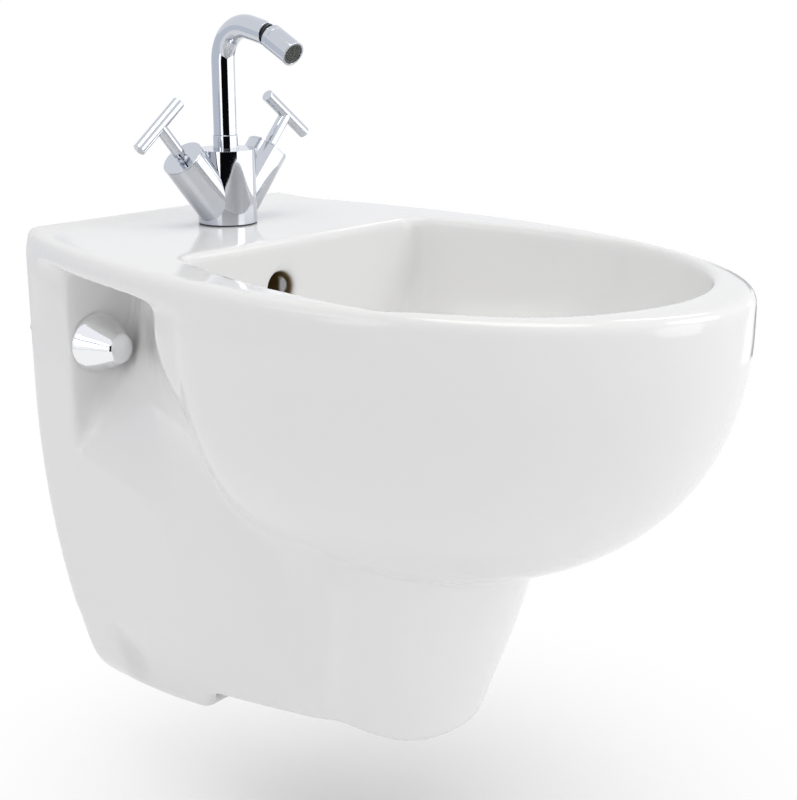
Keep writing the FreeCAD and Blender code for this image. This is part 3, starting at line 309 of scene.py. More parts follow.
def noise_in_metres(group, size, at, detail=3.0, stretch=None):
    """Noise whose patches measure about a given size on the piece itself."""
    place_on = add(group, "ShaderNodeTexCoord", (at[0] - 500, at[1]))
    source = place_on.outputs["Object"]
    if stretch:
        squeeze = add(group, "ShaderNodeMapping", (at[0] - 300, at[1] - 150), Scale=stretch)
        group.links.new(source, squeeze.inputs["Vector"])
        source = squeeze.outputs[0]
    noise = add(group, "ShaderNodeTexNoise", at, Detail=detail, Roughness=0.55)
    group.links.new(source, noise.inputs["Vector"])
    scale = sum_or_product(group, "DIVIDE", (at[0] - 300, at[1] + 150), 1.0, size)
    group.links.new(scale, noise.inputs["Scale"])
    return noise.outputs["Fac"]


def uneven_tone():
    """A colour that drifts a little lighter and darker over the surface."""
    group, given, out = new_group(
        "Uneven tone",
        [("Colour", "Color", (0.8, 0.8, 0.8, 1)), ("Patch Size", "Float", 0.05), ("Amount", "Float", 0.05)],
        [("Colour", "Color")])
    drift = noise_in_metres(group, given["Patch Size"], (-400, -100))
    swing = sum_or_product(group, "MULTIPLY", (-100, -100), sum_or_product(
        group, "SUBTRACT", (-250, -100), drift, 0.5), given["Amount"])
    gain = sum_or_product(group, "ADD", (100, -100), swing, 1.0)
    scale = add(group, "ShaderNodeVectorMath", (300, 0), operation="SCALE")
    group.links.new(given["Colour"], scale.inputs[0])
    group.links.new(gain, scale.inputs["Scale"])
    group.links.new(scale.outputs[0], out["Colour"])
    return group


def fine_grain():
    """A fine skin: its height for a bump and the roughness that goes with it."""
    group, given, out = new_group(
        "Fine grain",
        [("Grain Size", "Float", 0.001), ("Roughness", "Float", 0.4), ("Spread", "Float", 0.1)],
        [("Height", "Float"), ("Roughness", "Float")])
    grain = noise_in_metres(group, given["Grain Size"], (-400, 0))
    swing = sum_or_product(group, "MULTIPLY", (0, -100), sum_or_product(
        group, "SUBTRACT", (-150, -100), grain, 0.5), given["Spread"])
    group.links.new(grain, out["Height"])
    group.links.new(sum_or_product(group, "ADD", (200, -100), swing, given["Roughness"]), out["Roughness"])
    return group


def hand_polish():
    """Polished metal: faint rubbed lines and slow smears in its gloss."""
    group, given, out = new_group(
        "Hand polish",
        [("Roughness", "Float", 0.05), ("Smear", "Float", 0.03), ("Line Size", "Float", 0.0006)],
        [("Height", "Float"), ("Roughness", "Float")])
    smear = noise_in_metres(group, size=0.02, at=(-400, -250), detail=4.0)
    lines = noise_in_metres(group, given["Line Size"], (-400, 150), detail=2.0, stretch=(1.0, 1.0, 0.06))
    group.links.new(lines, out["Height"])
    both = sum_or_product(group, "MULTIPLY", (0, -100), smear, lines)
    swing = sum_or_product(group, "MULTIPLY", (150, -100), both, given["Smear"])
    group.links.new(sum_or_product(group, "ADD", (350, -100), swing, given["Roughness"]), out["Roughness"])
    return group


def spangle():
    """Plated steel: small crystal patches of different grey."""
    group, given, out = new_group(
        "Spangle", [("Colour", "Color", (0.6, 0.6, 0.6, 1)), ("Patch Size", "Float", 0.002),
                    ("Amount", "Float", 0.2)],
        [("Colour", "Color")])
    place_on = add(group, "ShaderNodeTexCoord", (-900, 200))
    cells = add(group, "ShaderNodeTexVoronoi", (-400, 100))
    group.links.new(place_on.outputs["Object"], cells.inputs["Vector"])
    cell_scale = sum_or_product(group, "DIVIDE", (-600, 200), 1.0, given["Patch Size"])
    group.links.new(cell_scale, cells.inputs["Scale"])
    tone = add(group, "ShaderNodeSeparateColor", (-200, 100))
    group.links.new(cells.outputs["Color"], tone.inputs[0])
    swing = sum_or_product(group, "MULTIPLY", (100, 0), sum_or_product(
        group, "SUBTRACT", (-50, 0), tone.outputs[0], 0.5), given["Amount"])
    scale = add(group, "ShaderNodeVectorMath", (400, 0), operation="SCALE")
    group.links.new(given["Colour"], scale.inputs[0])
    group.links.new(sum_or_product(group, "ADD", (250, 0), swing, 1.0), scale.inputs["Scale"])
    group.links.new(scale.outputs[0], out["Colour"])
    return group


def group_in(tree, group, at, **values):
    """A shared effect placed in a material with its own values."""
    node = add(tree, "ShaderNodeGroup", at, node_tree=group)
    for key, value in values.items():
        node.inputs[key.replace("_", " ")].default_value = value
    return node


def bare_material(name):
    """A material with only its Principled shader."""
    material = bpy.data.materials.new(name)
    material.use_nodes = True
    tree = material.node_tree
    return material, tree, tree.nodes["Principled BSDF"]


def bumped(tree, shader, height, distance, strength):
    """Lead a height into the shader's normal."""
    bump = add(tree, "ShaderNodeBump", (-200, -350), Strength=strength, Distance=distance)
    tree.links.new(height, bump.inputs["Height"])
    tree.links.new(bump.outputs["Normal"], shader.inputs["Normal"])


def rgba(colour):
    """A property's colour with full alpha."""
    return (colour[0], colour[1], colour[2], 1.0)


def glazed_china(look):
    """White glaze over fired clay, bare at the wall and under the foot, and inside the overflow bare clay
    painted dark brown as painted shade.
    """
    material, tree, shader = bare_material("glazed_china")
    tone = group_in(tree, GROUPS["tone"], (-700, 200), Colour=rgba(look.glaze_colour), Patch_Size=0.09,
                    Amount=0.02)
    clay = group_in(tree, GROUPS["tone"], (-700, 0), Colour=rgba(look.clay_colour), Patch_Size=0.004,
                    Amount=0.16)
    grain = group_in(tree, GROUPS["grain"], (-700, -250), Grain_Size=0.012, Roughness=look.glaze_roughness,
                     Spread=0.02)
    bare = add(tree, "ShaderNodeAttribute", (-700, 400), attribute_name="bare_clay")
    mix = add(tree, "ShaderNodeMix", (-400, 200), data_type="RGBA")
    tree.links.new(bare.outputs["Fac"], mix.inputs["Factor"])
    tree.links.new(tone.outputs["Colour"], mix.inputs[MIX_A])
    tree.links.new(clay.outputs["Colour"], mix.inputs[MIX_B])
    # Inside the overflow hole and duct: bare clay, whose dark brown colour is painted shade for the dark of
    # the hole
    duct = add(tree, "ShaderNodeAttribute", (-700, 600), attribute_name="overflow_skin")
    painted_duct_shade = group_in(tree, GROUPS["tone"], (-400, 500), Colour=rgba(look.overflow_shade_colour), Patch_Size=0.006,
                     Amount=0.3)
    inner = add(tree, "ShaderNodeMix", (-200, 300), data_type="RGBA")
    tree.links.new(duct.outputs["Fac"], inner.inputs["Factor"])
    tree.links.new(mix.outputs[MIX_OUT], inner.inputs[MIX_A])
    tree.links.new(painted_duct_shade.outputs["Colour"], inner.inputs[MIX_B])
    tree.links.new(inner.outputs[MIX_OUT], shader.inputs["Base Color"])
    unglazed = sum_or_product(tree, "MAXIMUM", (-550, -50), bare.outputs["Fac"], duct.outputs["Fac"])
    rough = sum_or_product(tree, "MULTIPLY", (-450, -100), unglazed, BARE_ROUGHNESS)
    tree.links.new(sum_or_product(tree, "ADD", (-250, -100), rough, grain.outputs["Roughness"]),
                   shader.inputs["Roughness"])
    bumped(tree, shader, grain.outputs["Height"], distance=0.1 * MM, strength=0.12)
    shader.inputs["IOR"].default_value = 1.5
    return material


def polished_metal(name, colour, roughness, smear, line_size, line_depth):
    """A plated or turned metal, polished by hand."""
    material, tree, shader = bare_material(name)
    tone = group_in(tree, GROUPS["tone"], (-600, 200), Colour=rgba(colour), Patch_Size=0.015, Amount=0.03)
    polish = group_in(tree, GROUPS["polish"], (-600, -100), Roughness=roughness, Smear=smear,
                      Line_Size=line_size)
    tree.links.new(tone.outputs["Colour"], shader.inputs["Base Color"])
    tree.links.new(polish.outputs["Roughness"], shader.inputs["Roughness"])
    bumped(tree, shader, polish.outputs["Height"], distance=line_depth, strength=0.05)
    shader.inputs["Metallic"].default_value = 1.0
    return material


def plated_steel(look):
    """Zinc-plated steel of studs, nuts and washers."""
    material, tree, shader = bare_material("plated_steel")
    cells = group_in(tree, GROUPS["spangle"], (-600, 200), Colour=rgba(look.steel_colour), Patch_Size=0.0016,
                     Amount=0.22)
    grain = group_in(tree, GROUPS["grain"], (-600, -100), Grain_Size=0.0007, Roughness=0.36, Spread=0.16)
    tree.links.new(cells.outputs["Colour"], shader.inputs["Base Color"])
    tree.links.new(grain.outputs["Roughness"], shader.inputs["Roughness"])
    bumped(tree, shader, grain.outputs["Height"], distance=0.04 * MM, strength=0.3)
    shader.inputs["Metallic"].default_value = 1.0
    return material


def moulded(name, colour, roughness, grain_size, bump, amount):
    """Moulded plastic or rubber with a fine matt skin."""
    material, tree, shader = bare_material(name)
    tone = group_in(tree, GROUPS["tone"], (-600, 200), Colour=rgba(colour), Patch_Size=0.008, Amount=amount)
    grain = group_in(tree, GROUPS["grain"], (-600, -100), Grain_Size=grain_size, Roughness=roughness,
                     Spread=0.12)
    tree.links.new(tone.outputs["Colour"], shader.inputs["Base Color"])
    tree.links.new(grain.outputs["Roughness"], shader.inputs["Roughness"])
    bumped(tree, shader, grain.outputs["Height"], distance=bump, strength=0.5)
    return material


# China

def edge_ends(mesh):
    """The two end points of every edge."""
    ends = np.empty(2 * len(mesh.edges), np.int32)
    mesh.edges.foreach_get("vertices", ends)
    return ends.reshape(-1, 2)


def read_points(mesh):
    """The points of a mesh as rows."""
    points = np.empty(3 * len(mesh.vertices), np.float32)
    mesh.vertices.foreach_get("co", points)
    return points.reshape(-1, 3).astype(float)


def around_mean(values, ends, degree):
    """The mean of each point's neighbours."""
    count = len(values)
    mean = np.empty_like(values)
    for axis in range(values.shape[1]):
        total = np.bincount(ends[:, 0], values[ends[:, 1], axis], count)
        total += np.bincount(ends[:, 1], values[ends[:, 0], axis], count)
        mean[:, axis] = total / degree
    return mean


def relax(points, ends, degree, weight, rounds):
    """Draw points towards their neighbours, each by its own weight."""
    for _ in range(rounds):
        points = points + RELAX_STEP * weight[:, None] * (around_mean(points, ends, degree) - points)
    return points


def spread(mask, ends, steps):
    """Let a mask fade out over a number of edges."""
    for _ in range(steps):
        wider = mask.copy()
        np.maximum.at(wider, ends[:, 0], mask[ends[:, 1]] - 1 / steps)
        np.maximum.at(wider, ends[:, 1], mask[ends[:, 0]] - 1 / steps)
        mask = wider
    return mask


def cast_skin(piece, fineness):
    """Cast a piece's skin anew with points a given distance apart, and give its points, edges and degrees."""
    cast = piece.modifiers.new("Cast", "REMESH")
    cast.mode = "VOXEL"
    cast.voxel_size = fineness
    final_mesh(piece)
    ends = edge_ends(piece.data)
    points = read_points(piece.data)
    return points, ends, np.bincount(ends.ravel(), minlength=len(points)).astype(float)


def write_points(mesh, points):
    """Move the points of a mesh, and give the normals there."""
    mesh.vertices.foreach_set("co", points.ravel().astype(np.float32))
    mesh.update()
    normals = np.empty(3 * len(points), np.float32)
    mesh.vertices.foreach_get("normal", normals)
    return normals.reshape(-1, 3)


def ramp(values, start, end):
    """A soft step from 0 at start to 1 at end."""
    t = np.clip((values - start) / (end - start), 0, 1)
    return t * t * (3 - 2 * t)


def away_from_holes(points):
    """0 round the overflow's way and the stud holes, which keep their size, and 1 further off."""
    off = points - np.array(OVERFLOW)
    hole = np.maximum(np.hypot(off[:, 0], off[:, 2]), HOLE_CLEAR * (off[:, 1] < HOLE_FRONT))
    duct = np.hypot(off[:, 0], off[:, 1] - DUCT_BEHIND)
    duct = np.maximum(duct, HOLE_CLEAR * (off[:, 2] > OVERFLOW_R))
    stud = np.hypot(np.abs(points[:, 0]) - STUD_X, points[:, 2])
    return ramp(np.minimum(np.minimum(hole, duct), stud), HOLE_CLEAR - HOLE_FADE, HOLE_CLEAR)


def bare_skin(points, facing):
    """1 where the china has no glaze: against the wall and under the foot."""
    wall = (points[:, 1] > WALL_SKIN) & (facing[:, 1] > WALL_FACING)
    sole = (points[:, 2] < SOLE_Z) & (facing[:, 2] < SOLE_FACING) & (points[:, 1] < SOLE_Y)
    return wall | sole


def overflow_skin(points):
    """1 inside the overflow hole and the duct behind it, whose bare clay takes the painted shade."""
    off = points - np.array(OVERFLOW)
    hole = ramp(OVERFLOW_R - np.hypot(off[:, 0], off[:, 2]), 0, SHADE_EDGE_FADE) * ramp(off[:, 1], *SHADE_DEPTH)
    hole = hole * (off[:, 1] < DUCT_BEHIND)
    down = ramp(DUCT_R - np.hypot(off[:, 0], off[:, 1] - DUCT_BEHIND), 0, DUCT_FADE)
    down = down * (points[:, 2] > DUCT_LOW)
    return np.maximum(hole, down * (off[:, 2] < OVERFLOW_R))


def store_mask(mesh, name, values):
    """Keep one value for each point, which a material can read."""
    mask = mesh.attributes.new(name, "FLOAT", "POINT")
    mask.data.foreach_set("value", values.astype(np.float32))


def soft_china_mesh(piece, look):
    """Give the cast body its soft edges and its wide hollow blends."""
    points, ends, degree = cast_skin(piece, look.edge_fineness)
    points = relax(points, ends, degree, np.ones(len(points)), look.edge_rounds)
    write_points(piece.data, points)
    points, ends, degree = cast_skin(piece, look.fineness)
    points = relax(points, ends, degree, np.ones(len(points)), look.skin_rounds)
    mesh = piece.data
    normals = write_points(mesh, points)
    fold = np.einsum("ij,ij->i", around_mean(points, ends, degree) - points, normals)
    hollow = np.clip((fold / look.fineness - HOLLOW_START) / HOLLOW_RISE, 0, 1)
    zone = ramp(spread(hollow, ends, int(look.blend_reach / look.fineness)), 0, 1)
    recess = 1 - RECESS_HOLD * ramp(points[:, 1], *RECESS_FRONT) * ramp(-points[:, 1], *RECESS_BACK)
    points = relax(points, ends, degree, zone * recess * away_from_holes(points), look.blend_rounds)
    nose = ramp(spread(hollow, ends, int(look.nose_reach / look.fineness)), 0, 1)
    nose = nose * ramp(-points[:, 1], *NOSE_OUT)
    points = relax(points, ends, degree, nose * (points[:, 2] < NOSE_TOP), look.blend_rounds)
    corner = ramp(np.abs(points[:, 0]), *CORNER_SIDE) * ramp(points[:, 1], *CORNER_FRONT)
    corner *= (ramp(-points[:, 1], *CORNER_BACK) * ramp(points[:, 2], *CORNER_LOW)
               * ramp(-points[:, 2], *CORNER_HIGH))
    points = relax(points, ends, degree, CORNER_PULL * corner, look.corner_rounds)
    foot_edge = ramp(-points[:, 2], *FOOT_DOWN)
    points = relax(points, ends, degree, FOOT_PULL * foot_edge, look.foot_rounds)
    facing = write_points(mesh, points)
    store_mask(mesh, "bare_clay", bare_skin(points, facing))
    store_mask(mesh, "overflow_skin", overflow_skin(points))
    mesh.shade_smooth()


# Threads

def threaded_rod(verts, faces, foot, tip, radius, pitch, depth):
    """Add a rod with a helical thread and chamfered ends to lists of points and faces."""
    axis = tip - foot
    length = axis.length
    axis.normalize()
    side = axis.orthogonal().normalized()
    other = axis.cross(side)
    rings = max(2, round(length / pitch * THREAD_RINGS))
    first = len(verts)
    for ring in range(rings + 1):
        along = length * ring / rings
        end_r = radius - THREAD_CHAMFER * depth + min(along, length - along)
        for step in range(THREAD_SIDES):
            turn = 2 * math.pi * step / THREAD_SIDES
            phase = (along / pitch - step / THREAD_SIDES) % 1.0
            ridge = min(1.0, THREAD_FLANK * (1 - abs(2 * phase - 1)))
            r = min(end_r, radius - depth * (1 - ridge))
            verts.append(foot + axis * along + (side * math.cos(turn) + other * math.sin(turn)) * r)
    for ring in range(rings):
        for step in range(THREAD_SIDES):
            a = first + ring * THREAD_SIDES + step
            b = first + ring * THREAD_SIDES + (step + 1) % THREAD_SIDES
            faces.append((a, b, b + THREAD_SIDES, a + THREAD_SIDES))
    faces.append(tuple(first + step for step in reversed(range(THREAD_SIDES))))
    last = first + rings * THREAD_SIDES
    faces.append(tuple(last + step for step in range(THREAD_SIDES)))


def rod_piece(node, rods, pitch, depth, material):
    """One piece of one or more threaded rods, in place of plain ones."""
    verts, faces = [], []
    for foot, tip, radius in rods:
        threaded_rod(verts, faces, foot, tip, radius, pitch, depth)
    mesh = bpy.data.meshes.new("finished_" + node)
    mesh.from_pydata([tuple(v) for v in verts], [], faces)
    mesh.validate()
    mesh.shade_smooth()
    mesh.set_sharp_from_angle(angle=THREAD_CREASE)
    place(new_piece("finished_" + node, mesh), node, material)


# Settings

class BidetChina(bpy.types.PropertyGroup):
    """How the china looks."""
    glaze_colour: FloatVectorProperty(
        name="Glaze", description="Colour of the glaze", subtype="COLOR", size=3, min=0, max=1,
        default=(0.87, 0.87, 0.863))
    clay_colour: FloatVectorProperty(
        name="Bare clay", description="Colour of the fired clay where it has no glaze", subtype="COLOR",
        size=3, min=0, max=1, default=(0.62, 0.55, 0.46))
    # Dark brown inside the overflow hole: painted shade over bare clay
    overflow_shade_colour: FloatVectorProperty(
        name="Overflow", description="Colour inside the overflow hole", subtype="COLOR", size=3, min=0, max=1,
        default=(0.16, 0.105, 0.03))
    glaze_roughness: FloatProperty(
        name="Glaze roughness", description="How blurred the glaze reflects", default=0.09, min=0, max=1,
        subtype="FACTOR")
    fineness: FloatProperty(
        name="Fineness", description="Distance between the points of the china's mesh", default=2.4 * MM,
        min=1 * MM, max=10 * MM, unit="LENGTH")
    edge_fineness: FloatProperty(
        name="Edge fineness", description="Distance between points while the edges are softened",
        default=1.6 * MM, min=1 * MM, max=10 * MM, unit="LENGTH")
    edge_rounds: IntProperty(
        name="Edge softness", description="Rounds of smoothing while the edges are softened",
        default=10, min=0, max=60)
    skin_rounds: IntProperty(
        name="Skin softness", description="Rounds of smoothing over the whole finished skin",
        default=5, min=0, max=60)
    corner_rounds: IntProperty(
        name="Corner softness", description="Rounds of smoothing along the rim's lower edge over the recess",
        default=28, min=0, max=200)
    foot_rounds: IntProperty(
        name="Foot softness", description="Rounds of smoothing round the foot's edge", default=30, min=0,
        max=200)
    blend_rounds: IntProperty(
        name="Blend softness",
        description="Rounds of smoothing in the hollows between bowl, skirt and flange",
        default=110, min=0, max=400)
    blend_reach: FloatProperty(
        name="Blend reach", description="How far the smoothing of a hollow reaches", default=26 * MM,
        min=5 * MM, max=80 * MM, unit="LENGTH")
    nose_reach: FloatProperty(
        name="Nose reach", description="How far the smoothing of the hollow under the bowl's front reaches",
        default=40 * MM, min=5 * MM, max=80 * MM, unit="LENGTH")


class BidetFinishes(bpy.types.PropertyGroup):
    """How the fittings look."""
    chrome_colour: FloatVectorProperty(
        name="Chrome", description="Colour of the polished plating", subtype="COLOR", size=3, min=0, max=1,
        default=(0.595, 0.615, 0.655))
    # The caps' chrome is painted lighter than the other chrome: a painted reflection of bright surroundings
    # on the same plating
    cap_painted_light_colour: FloatVectorProperty(
        name="Caps", description="Colour of the brighter plating on the fixing caps", subtype="COLOR", size=3,
        min=0, max=1, default=(0.87, 0.875, 0.885))
    chrome_roughness: FloatProperty(
        name="Chrome roughness", description="How blurred the plating reflects", default=0.035, min=0, max=1,
        subtype="FACTOR")
    brass_colour: FloatVectorProperty(
        name="Brass", description="Colour of the turned brass", subtype="COLOR", size=3, min=0, max=1,
        default=(0.72, 0.55, 0.29))
    steel_colour: FloatVectorProperty(
        name="Steel", description="Colour of the plated steel", subtype="COLOR", size=3, min=0, max=1,
        default=(0.58, 0.58, 0.59))
    rubber_colour: FloatVectorProperty(
        name="Rubber", description="Colour of seals and gaskets", subtype="COLOR", size=3, min=0, max=1,
        default=(0.035, 0.035, 0.037))
    black_colour: FloatVectorProperty(
        name="Black plastic", description="Colour of the ball's socket", subtype="COLOR", size=3,
        min=0, max=1, default=(0.012, 0.012, 0.013))
    white_colour: FloatVectorProperty(
        name="White plastic", description="Colour of sleeves, cap bases and guide", subtype="COLOR", size=3,
        min=0, max=1, default=(0.78, 0.78, 0.76))
    grey_colour: FloatVectorProperty(
        name="Grey plastic", description="Colour of the aerator", subtype="COLOR", size=3, min=0, max=1,
        default=(0.085, 0.095, 0.085))
    disc_colour: FloatVectorProperty(
        name="Disc ceramic", description="Colour of the valve discs", subtype="COLOR", size=3, min=0, max=1,
        default=(0.80, 0.78, 0.73))
    edge: FloatProperty(
        name="Metal edge", description="Round on the edges of metal pieces", default=0.35 * MM, min=0,
        max=2 * MM, unit="LENGTH")
    soft_edge: FloatProperty(
        name="Soft edge", description="Round on the edges of seals and plastic pieces",
        default=0.3 * MM, min=0, max=2 * MM, unit="LENGTH")


class BidetStage(bpy.types.PropertyGroup):
    """Floor, light and camera."""
    floor_drop: FloatProperty(
        name="Floor", description="How far the floor lies under the foot", default=0.07, min=0, max=1,
        unit="LENGTH")
    floor_colour: FloatVectorProperty(
        name="Floor colour", description="Colour of the floor", subtype="COLOR", size=3, min=0, max=1,
        default=(0.93, 0.93, 0.93))
    sky: FloatProperty(
        name="Room light", description="Strength of the light from all around", default=0.5, min=0, max=2)
    key_power: FloatProperty(
        name="Main lamp", description="Power of the high lamp in front on the right", default=19.5, min=0,
        max=500, unit="POWER")
    front_power: FloatProperty(
        name="Front lamp", description="Power of the low lamp in front", default=14.5, min=0, max=500,
        unit="POWER")
    side_power: FloatProperty(
        name="Side lamp", description="Power of the lamp on the left, near the wall", default=10.5, min=0,
        max=500, unit="POWER")
    top_power: FloatProperty(
        name="Top lamp", description="Power of the lamp overhead", default=22.0, min=0, max=500, unit="POWER")
    lamp_size: FloatProperty(
        name="Lamp size", description="Width of each lamp", default=1.7, min=0.1, max=5, unit="LENGTH")
    streak: FloatProperty(
        name="White streaks", description="Brightness of the white cards that the tap reflects", default=1.75,
        min=0, max=5)
    glint: FloatProperty(
        name="Glint", description="Brightness of the high card that the basin's back edge reflects",
        default=4.0, min=0, max=20)
    lens: FloatProperty(
        name="Lens", description="Focal length of the camera", default=67.88, min=10, max=300,
        unit="CAMERA")


# Operators

def settings():
    """The china, finishes and stage of the scene."""
    scene = bpy.context.scene
    return scene.bidet_china, scene.bidet_finishes, scene.bidet_stage


GROUPS = {}
FINISHES = {}


class BIDET_OT_finishes(bpy.types.Operator):
    """Make the shared effects and the finishes"""
    bl_idname = "bidet.finishes"
    bl_label = "Finishes"

    def execute(self, context):
        china, look, _ = settings()
        GROUPS.update(tone=uneven_tone(), grain=fine_grain(), polish=hand_polish(), spangle=spangle())
        FINISHES.update(
            china=glazed_china(china),
            chrome=polished_metal("polished_chrome", look.chrome_colour, look.chrome_roughness, smear=0.02,
                                  line_size=0.003, line_depth=0.001 * MM),
            # A lighter copy of the chrome for the caps, whose colour is a painted reflection
            bright_chrome=polished_metal("bright_chrome", look.cap_painted_light_colour, look.chrome_roughness, smear=0.02,
                                         line_size=0.003, line_depth=0.001 * MM),
            brass=polished_metal("turned_brass", look.brass_colour, roughness=0.2, smear=0.25,
                                 line_size=0.0004, line_depth=0.01 * MM),
            steel=plated_steel(look),
            rubber=moulded("black_rubber", look.rubber_colour, roughness=0.55, grain_size=0.0006,
                           bump=0.05 * MM, amount=0.5),
            black_plastic=moulded("black_plastic", look.black_colour, roughness=0.3, grain_size=0.0005,
                                  bump=0.02 * MM, amount=0.3),
            white_plastic=moulded("white_plastic", look.white_colour, roughness=0.38, grain_size=0.0005,
                                  bump=0.02 * MM, amount=0.05),
            grey_plastic=moulded("grey_plastic", look.grey_colour, roughness=0.34, grain_size=0.0004,
                                 bump=0.02 * MM, amount=0.4),
            disc_ceramic=moulded("lapped_ceramic", look.disc_colour, roughness=0.18, grain_size=0.0004,
                                 bump=0.005 * MM, amount=0.06))
        return {"FINISHED"}


class BIDET_OT_china(bpy.types.Operator):
    """Cast the glazed china body"""
    bl_idname = "bidet.china"
    bl_label = "China body"

    def execute(self, context):
        look = settings()[0]
        piece = new_piece("glazed_body", welded_copy("bidet_bowl"))
        soft_china_mesh(piece, look)
        place(piece, "bidet_bowl", FINISHES["china"])
        return {"FINISHED"}


def finish_nodes(nodes, edge, steps=EDGE_STEPS):
    """Finish several nodes that keep the shape they have."""
    for node in nodes:
        edged_piece(node, edge, FINISHES[SLOTS[node]], steps)


class BIDET_OT_tap(bpy.types.Operator):
    """Finish the tap's body, its gasket and what holds it under the deck"""
    bl_idname = "bidet.tap"
    bl_label = "Tap body"

    def execute(self, context):
        look = settings()[1]
        finish_nodes(["tap_body", "left_arm_cover", "right_arm_cover"], look.edge, METAL_STEPS)
        finish_nodes(["tap_base_gasket", "rubber_horseshoe", "steel_horseshoe", "tap_nut"], look.soft_edge)
        low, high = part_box("tap_stud")
        middle = (low + high) / 2
        foot, tip = Vector((middle.x, middle.y, high.z)), Vector((middle.x, middle.y, low.z))
        rod_piece("tap_stud", [(foot, tip, (high.x - low.x) / 2)], *TAP_THREAD, FINISHES["steel"])
        return {"FINISHED"}


class BIDET_OT_handles(bpy.types.Operator):
    """Finish the two handles and their headworks"""
    bl_idname = "bidet.handles"
    bl_label = "Handles"

    def execute(self, context):
        look = settings()[1]
        for word in ("left_", "right_"):
            finish_nodes([word + "handle_bar", word + "handle_stem", word + "spindle"], look.edge,
                         METAL_STEPS)
            finish_nodes([word + "grub_screw", word + "headwork", word + "headwork_seal", word + "fixed_disc",
                          word + "turning_disc"], look.soft_edge)
        return {"FINISHED"}


class BIDET_OT_spout(bpy.types.Operator):
    """Finish the spout, its seals and the aiming nozzle"""
    bl_idname = "bidet.spout"
    bl_label = "Spout and nozzle"

    def execute(self, context):
        look = settings()[1]
        finish_nodes(["spout_tube", "spout_collar", "nozzle_ring", "nozzle_housing", "nozzle_ball"],
                     look.edge, METAL_STEPS)
        finish_nodes(["spout_seals", "spout_slip_ring", "ball_socket", "aerator_washer", "aerator_insert",
                      "aerator_screen"], look.soft_edge / 2)
        return {"FINISHED"}


class BIDET_OT_waste(bpy.types.Operator):
    """Finish the waste and its plug"""
    bl_idname = "bidet.waste"
    bl_label = "Waste and plug"

    def execute(self, context):
        look = settings()[1]
        finish_nodes(["waste_flange", "waste_body", "drain_plug", "plug_stem"], look.edge, METAL_STEPS)
        finish_nodes(["waste_gasket", "lower_gasket", "back_nut", "plug_seal", "plug_guide"], look.soft_edge)
        return {"FINISHED"}


class BIDET_OT_fixings(bpy.types.Operator):
    """Finish the wall fixings and their caps"""
    bl_idname = "bidet.fixings"
    bl_label = "Wall fixings"

    def execute(self, context):
        look = settings()[1]
        # The caps take the chrome painted lighter, a painted reflection
        edged_piece("fixing_caps", look.edge, FINISHES["bright_chrome"], METAL_STEPS)
        finish_nodes(["stud_sleeves", "cap_bases", "fixing_washers", "fixing_nuts"], look.soft_edge)
        low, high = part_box("wall_studs")
        radius = (high.z - low.z) / 2
        rods = []
        for x in (low.x + radius, high.x - radius):
            rods.append((Vector((x, high.y, 0)), Vector((x, STUD_STEP, 0)), radius))
            rods.append((Vector((x, STUD_STEP, 0)), Vector((x, low.y, 0)), STUD_END_R))
        rod_piece("wall_studs", rods, *WALL_THREAD, FINISHES["steel"])
        return {"FINISHED"}


def studio_floor(look):
    """A round pale floor that runs out into the white of the room."""
    level = CAD_LOW.z - look.floor_drop
    mesh = bpy.data.meshes.new("floor")
    work = bmesh.new()
    bmesh.ops.create_circle(work, cap_ends=True, segments=FLOOR_SIDES, radius=FLOOR_R)
    work.to_mesh(mesh)
    work.free()
    floor = new_piece("floor", mesh)
    floor.location = (0, (CAD_LOW.y + CAD_HIGH.y) / 2, level)
    material, tree, shader = bare_material("floor_paint")
    shader.inputs["Base Color"].default_value = rgba(look.floor_colour)
    shader.inputs["Roughness"].default_value = FLOOR_ROUGHNESS
    shader.inputs["Specular IOR Level"].default_value = 0.0
    white = add(tree, "ShaderNodeEmission", (0, -300), Color=(1, 1, 1, 1), Strength=1.0)
    mix = add(tree, "ShaderNodeMixShader", (300, 0))
    spot = add(tree, "ShaderNodeTexCoord", (-900, -200))
    reach = add(tree, "ShaderNodeVectorMath", (-700, -200), operation="LENGTH")
    fade = add(tree, "ShaderNodeMapRange", (-500, -200), interpolation_type="SMOOTHSTEP")
    fade.inputs["From Min"].default_value = FLOOR_FADE[0]
    fade.inputs["From Max"].default_value = FLOOR_FADE[1]
    path = add(tree, "ShaderNodeLightPath", (-500, 300))
    seen = sum_or_product(tree, "MAXIMUM", (-300, 300), path.outputs["Is Camera Ray"], sum_or_product(
        tree, "MAXIMUM", (-400, 100), path.outputs["Is Glossy Ray"], path.outputs["Is Transmission Ray"]))
    tree.links.new(spot.outputs["Object"], reach.inputs[0])
    tree.links.new(reach.outputs["Value"], fade.inputs["Value"])
    tree.links.new(sum_or_product(tree, "MULTIPLY", (-100, 200), seen, fade.outputs[0]), mix.inputs[0])
    tree.links.new(shader.outputs[0], mix.inputs[1])
    tree.links.new(white.outputs[0], mix.inputs[2])
    tree.links.new(mix.outputs[0], tree.nodes["Material Output"].inputs["Surface"])
    mesh.materials.append(material)


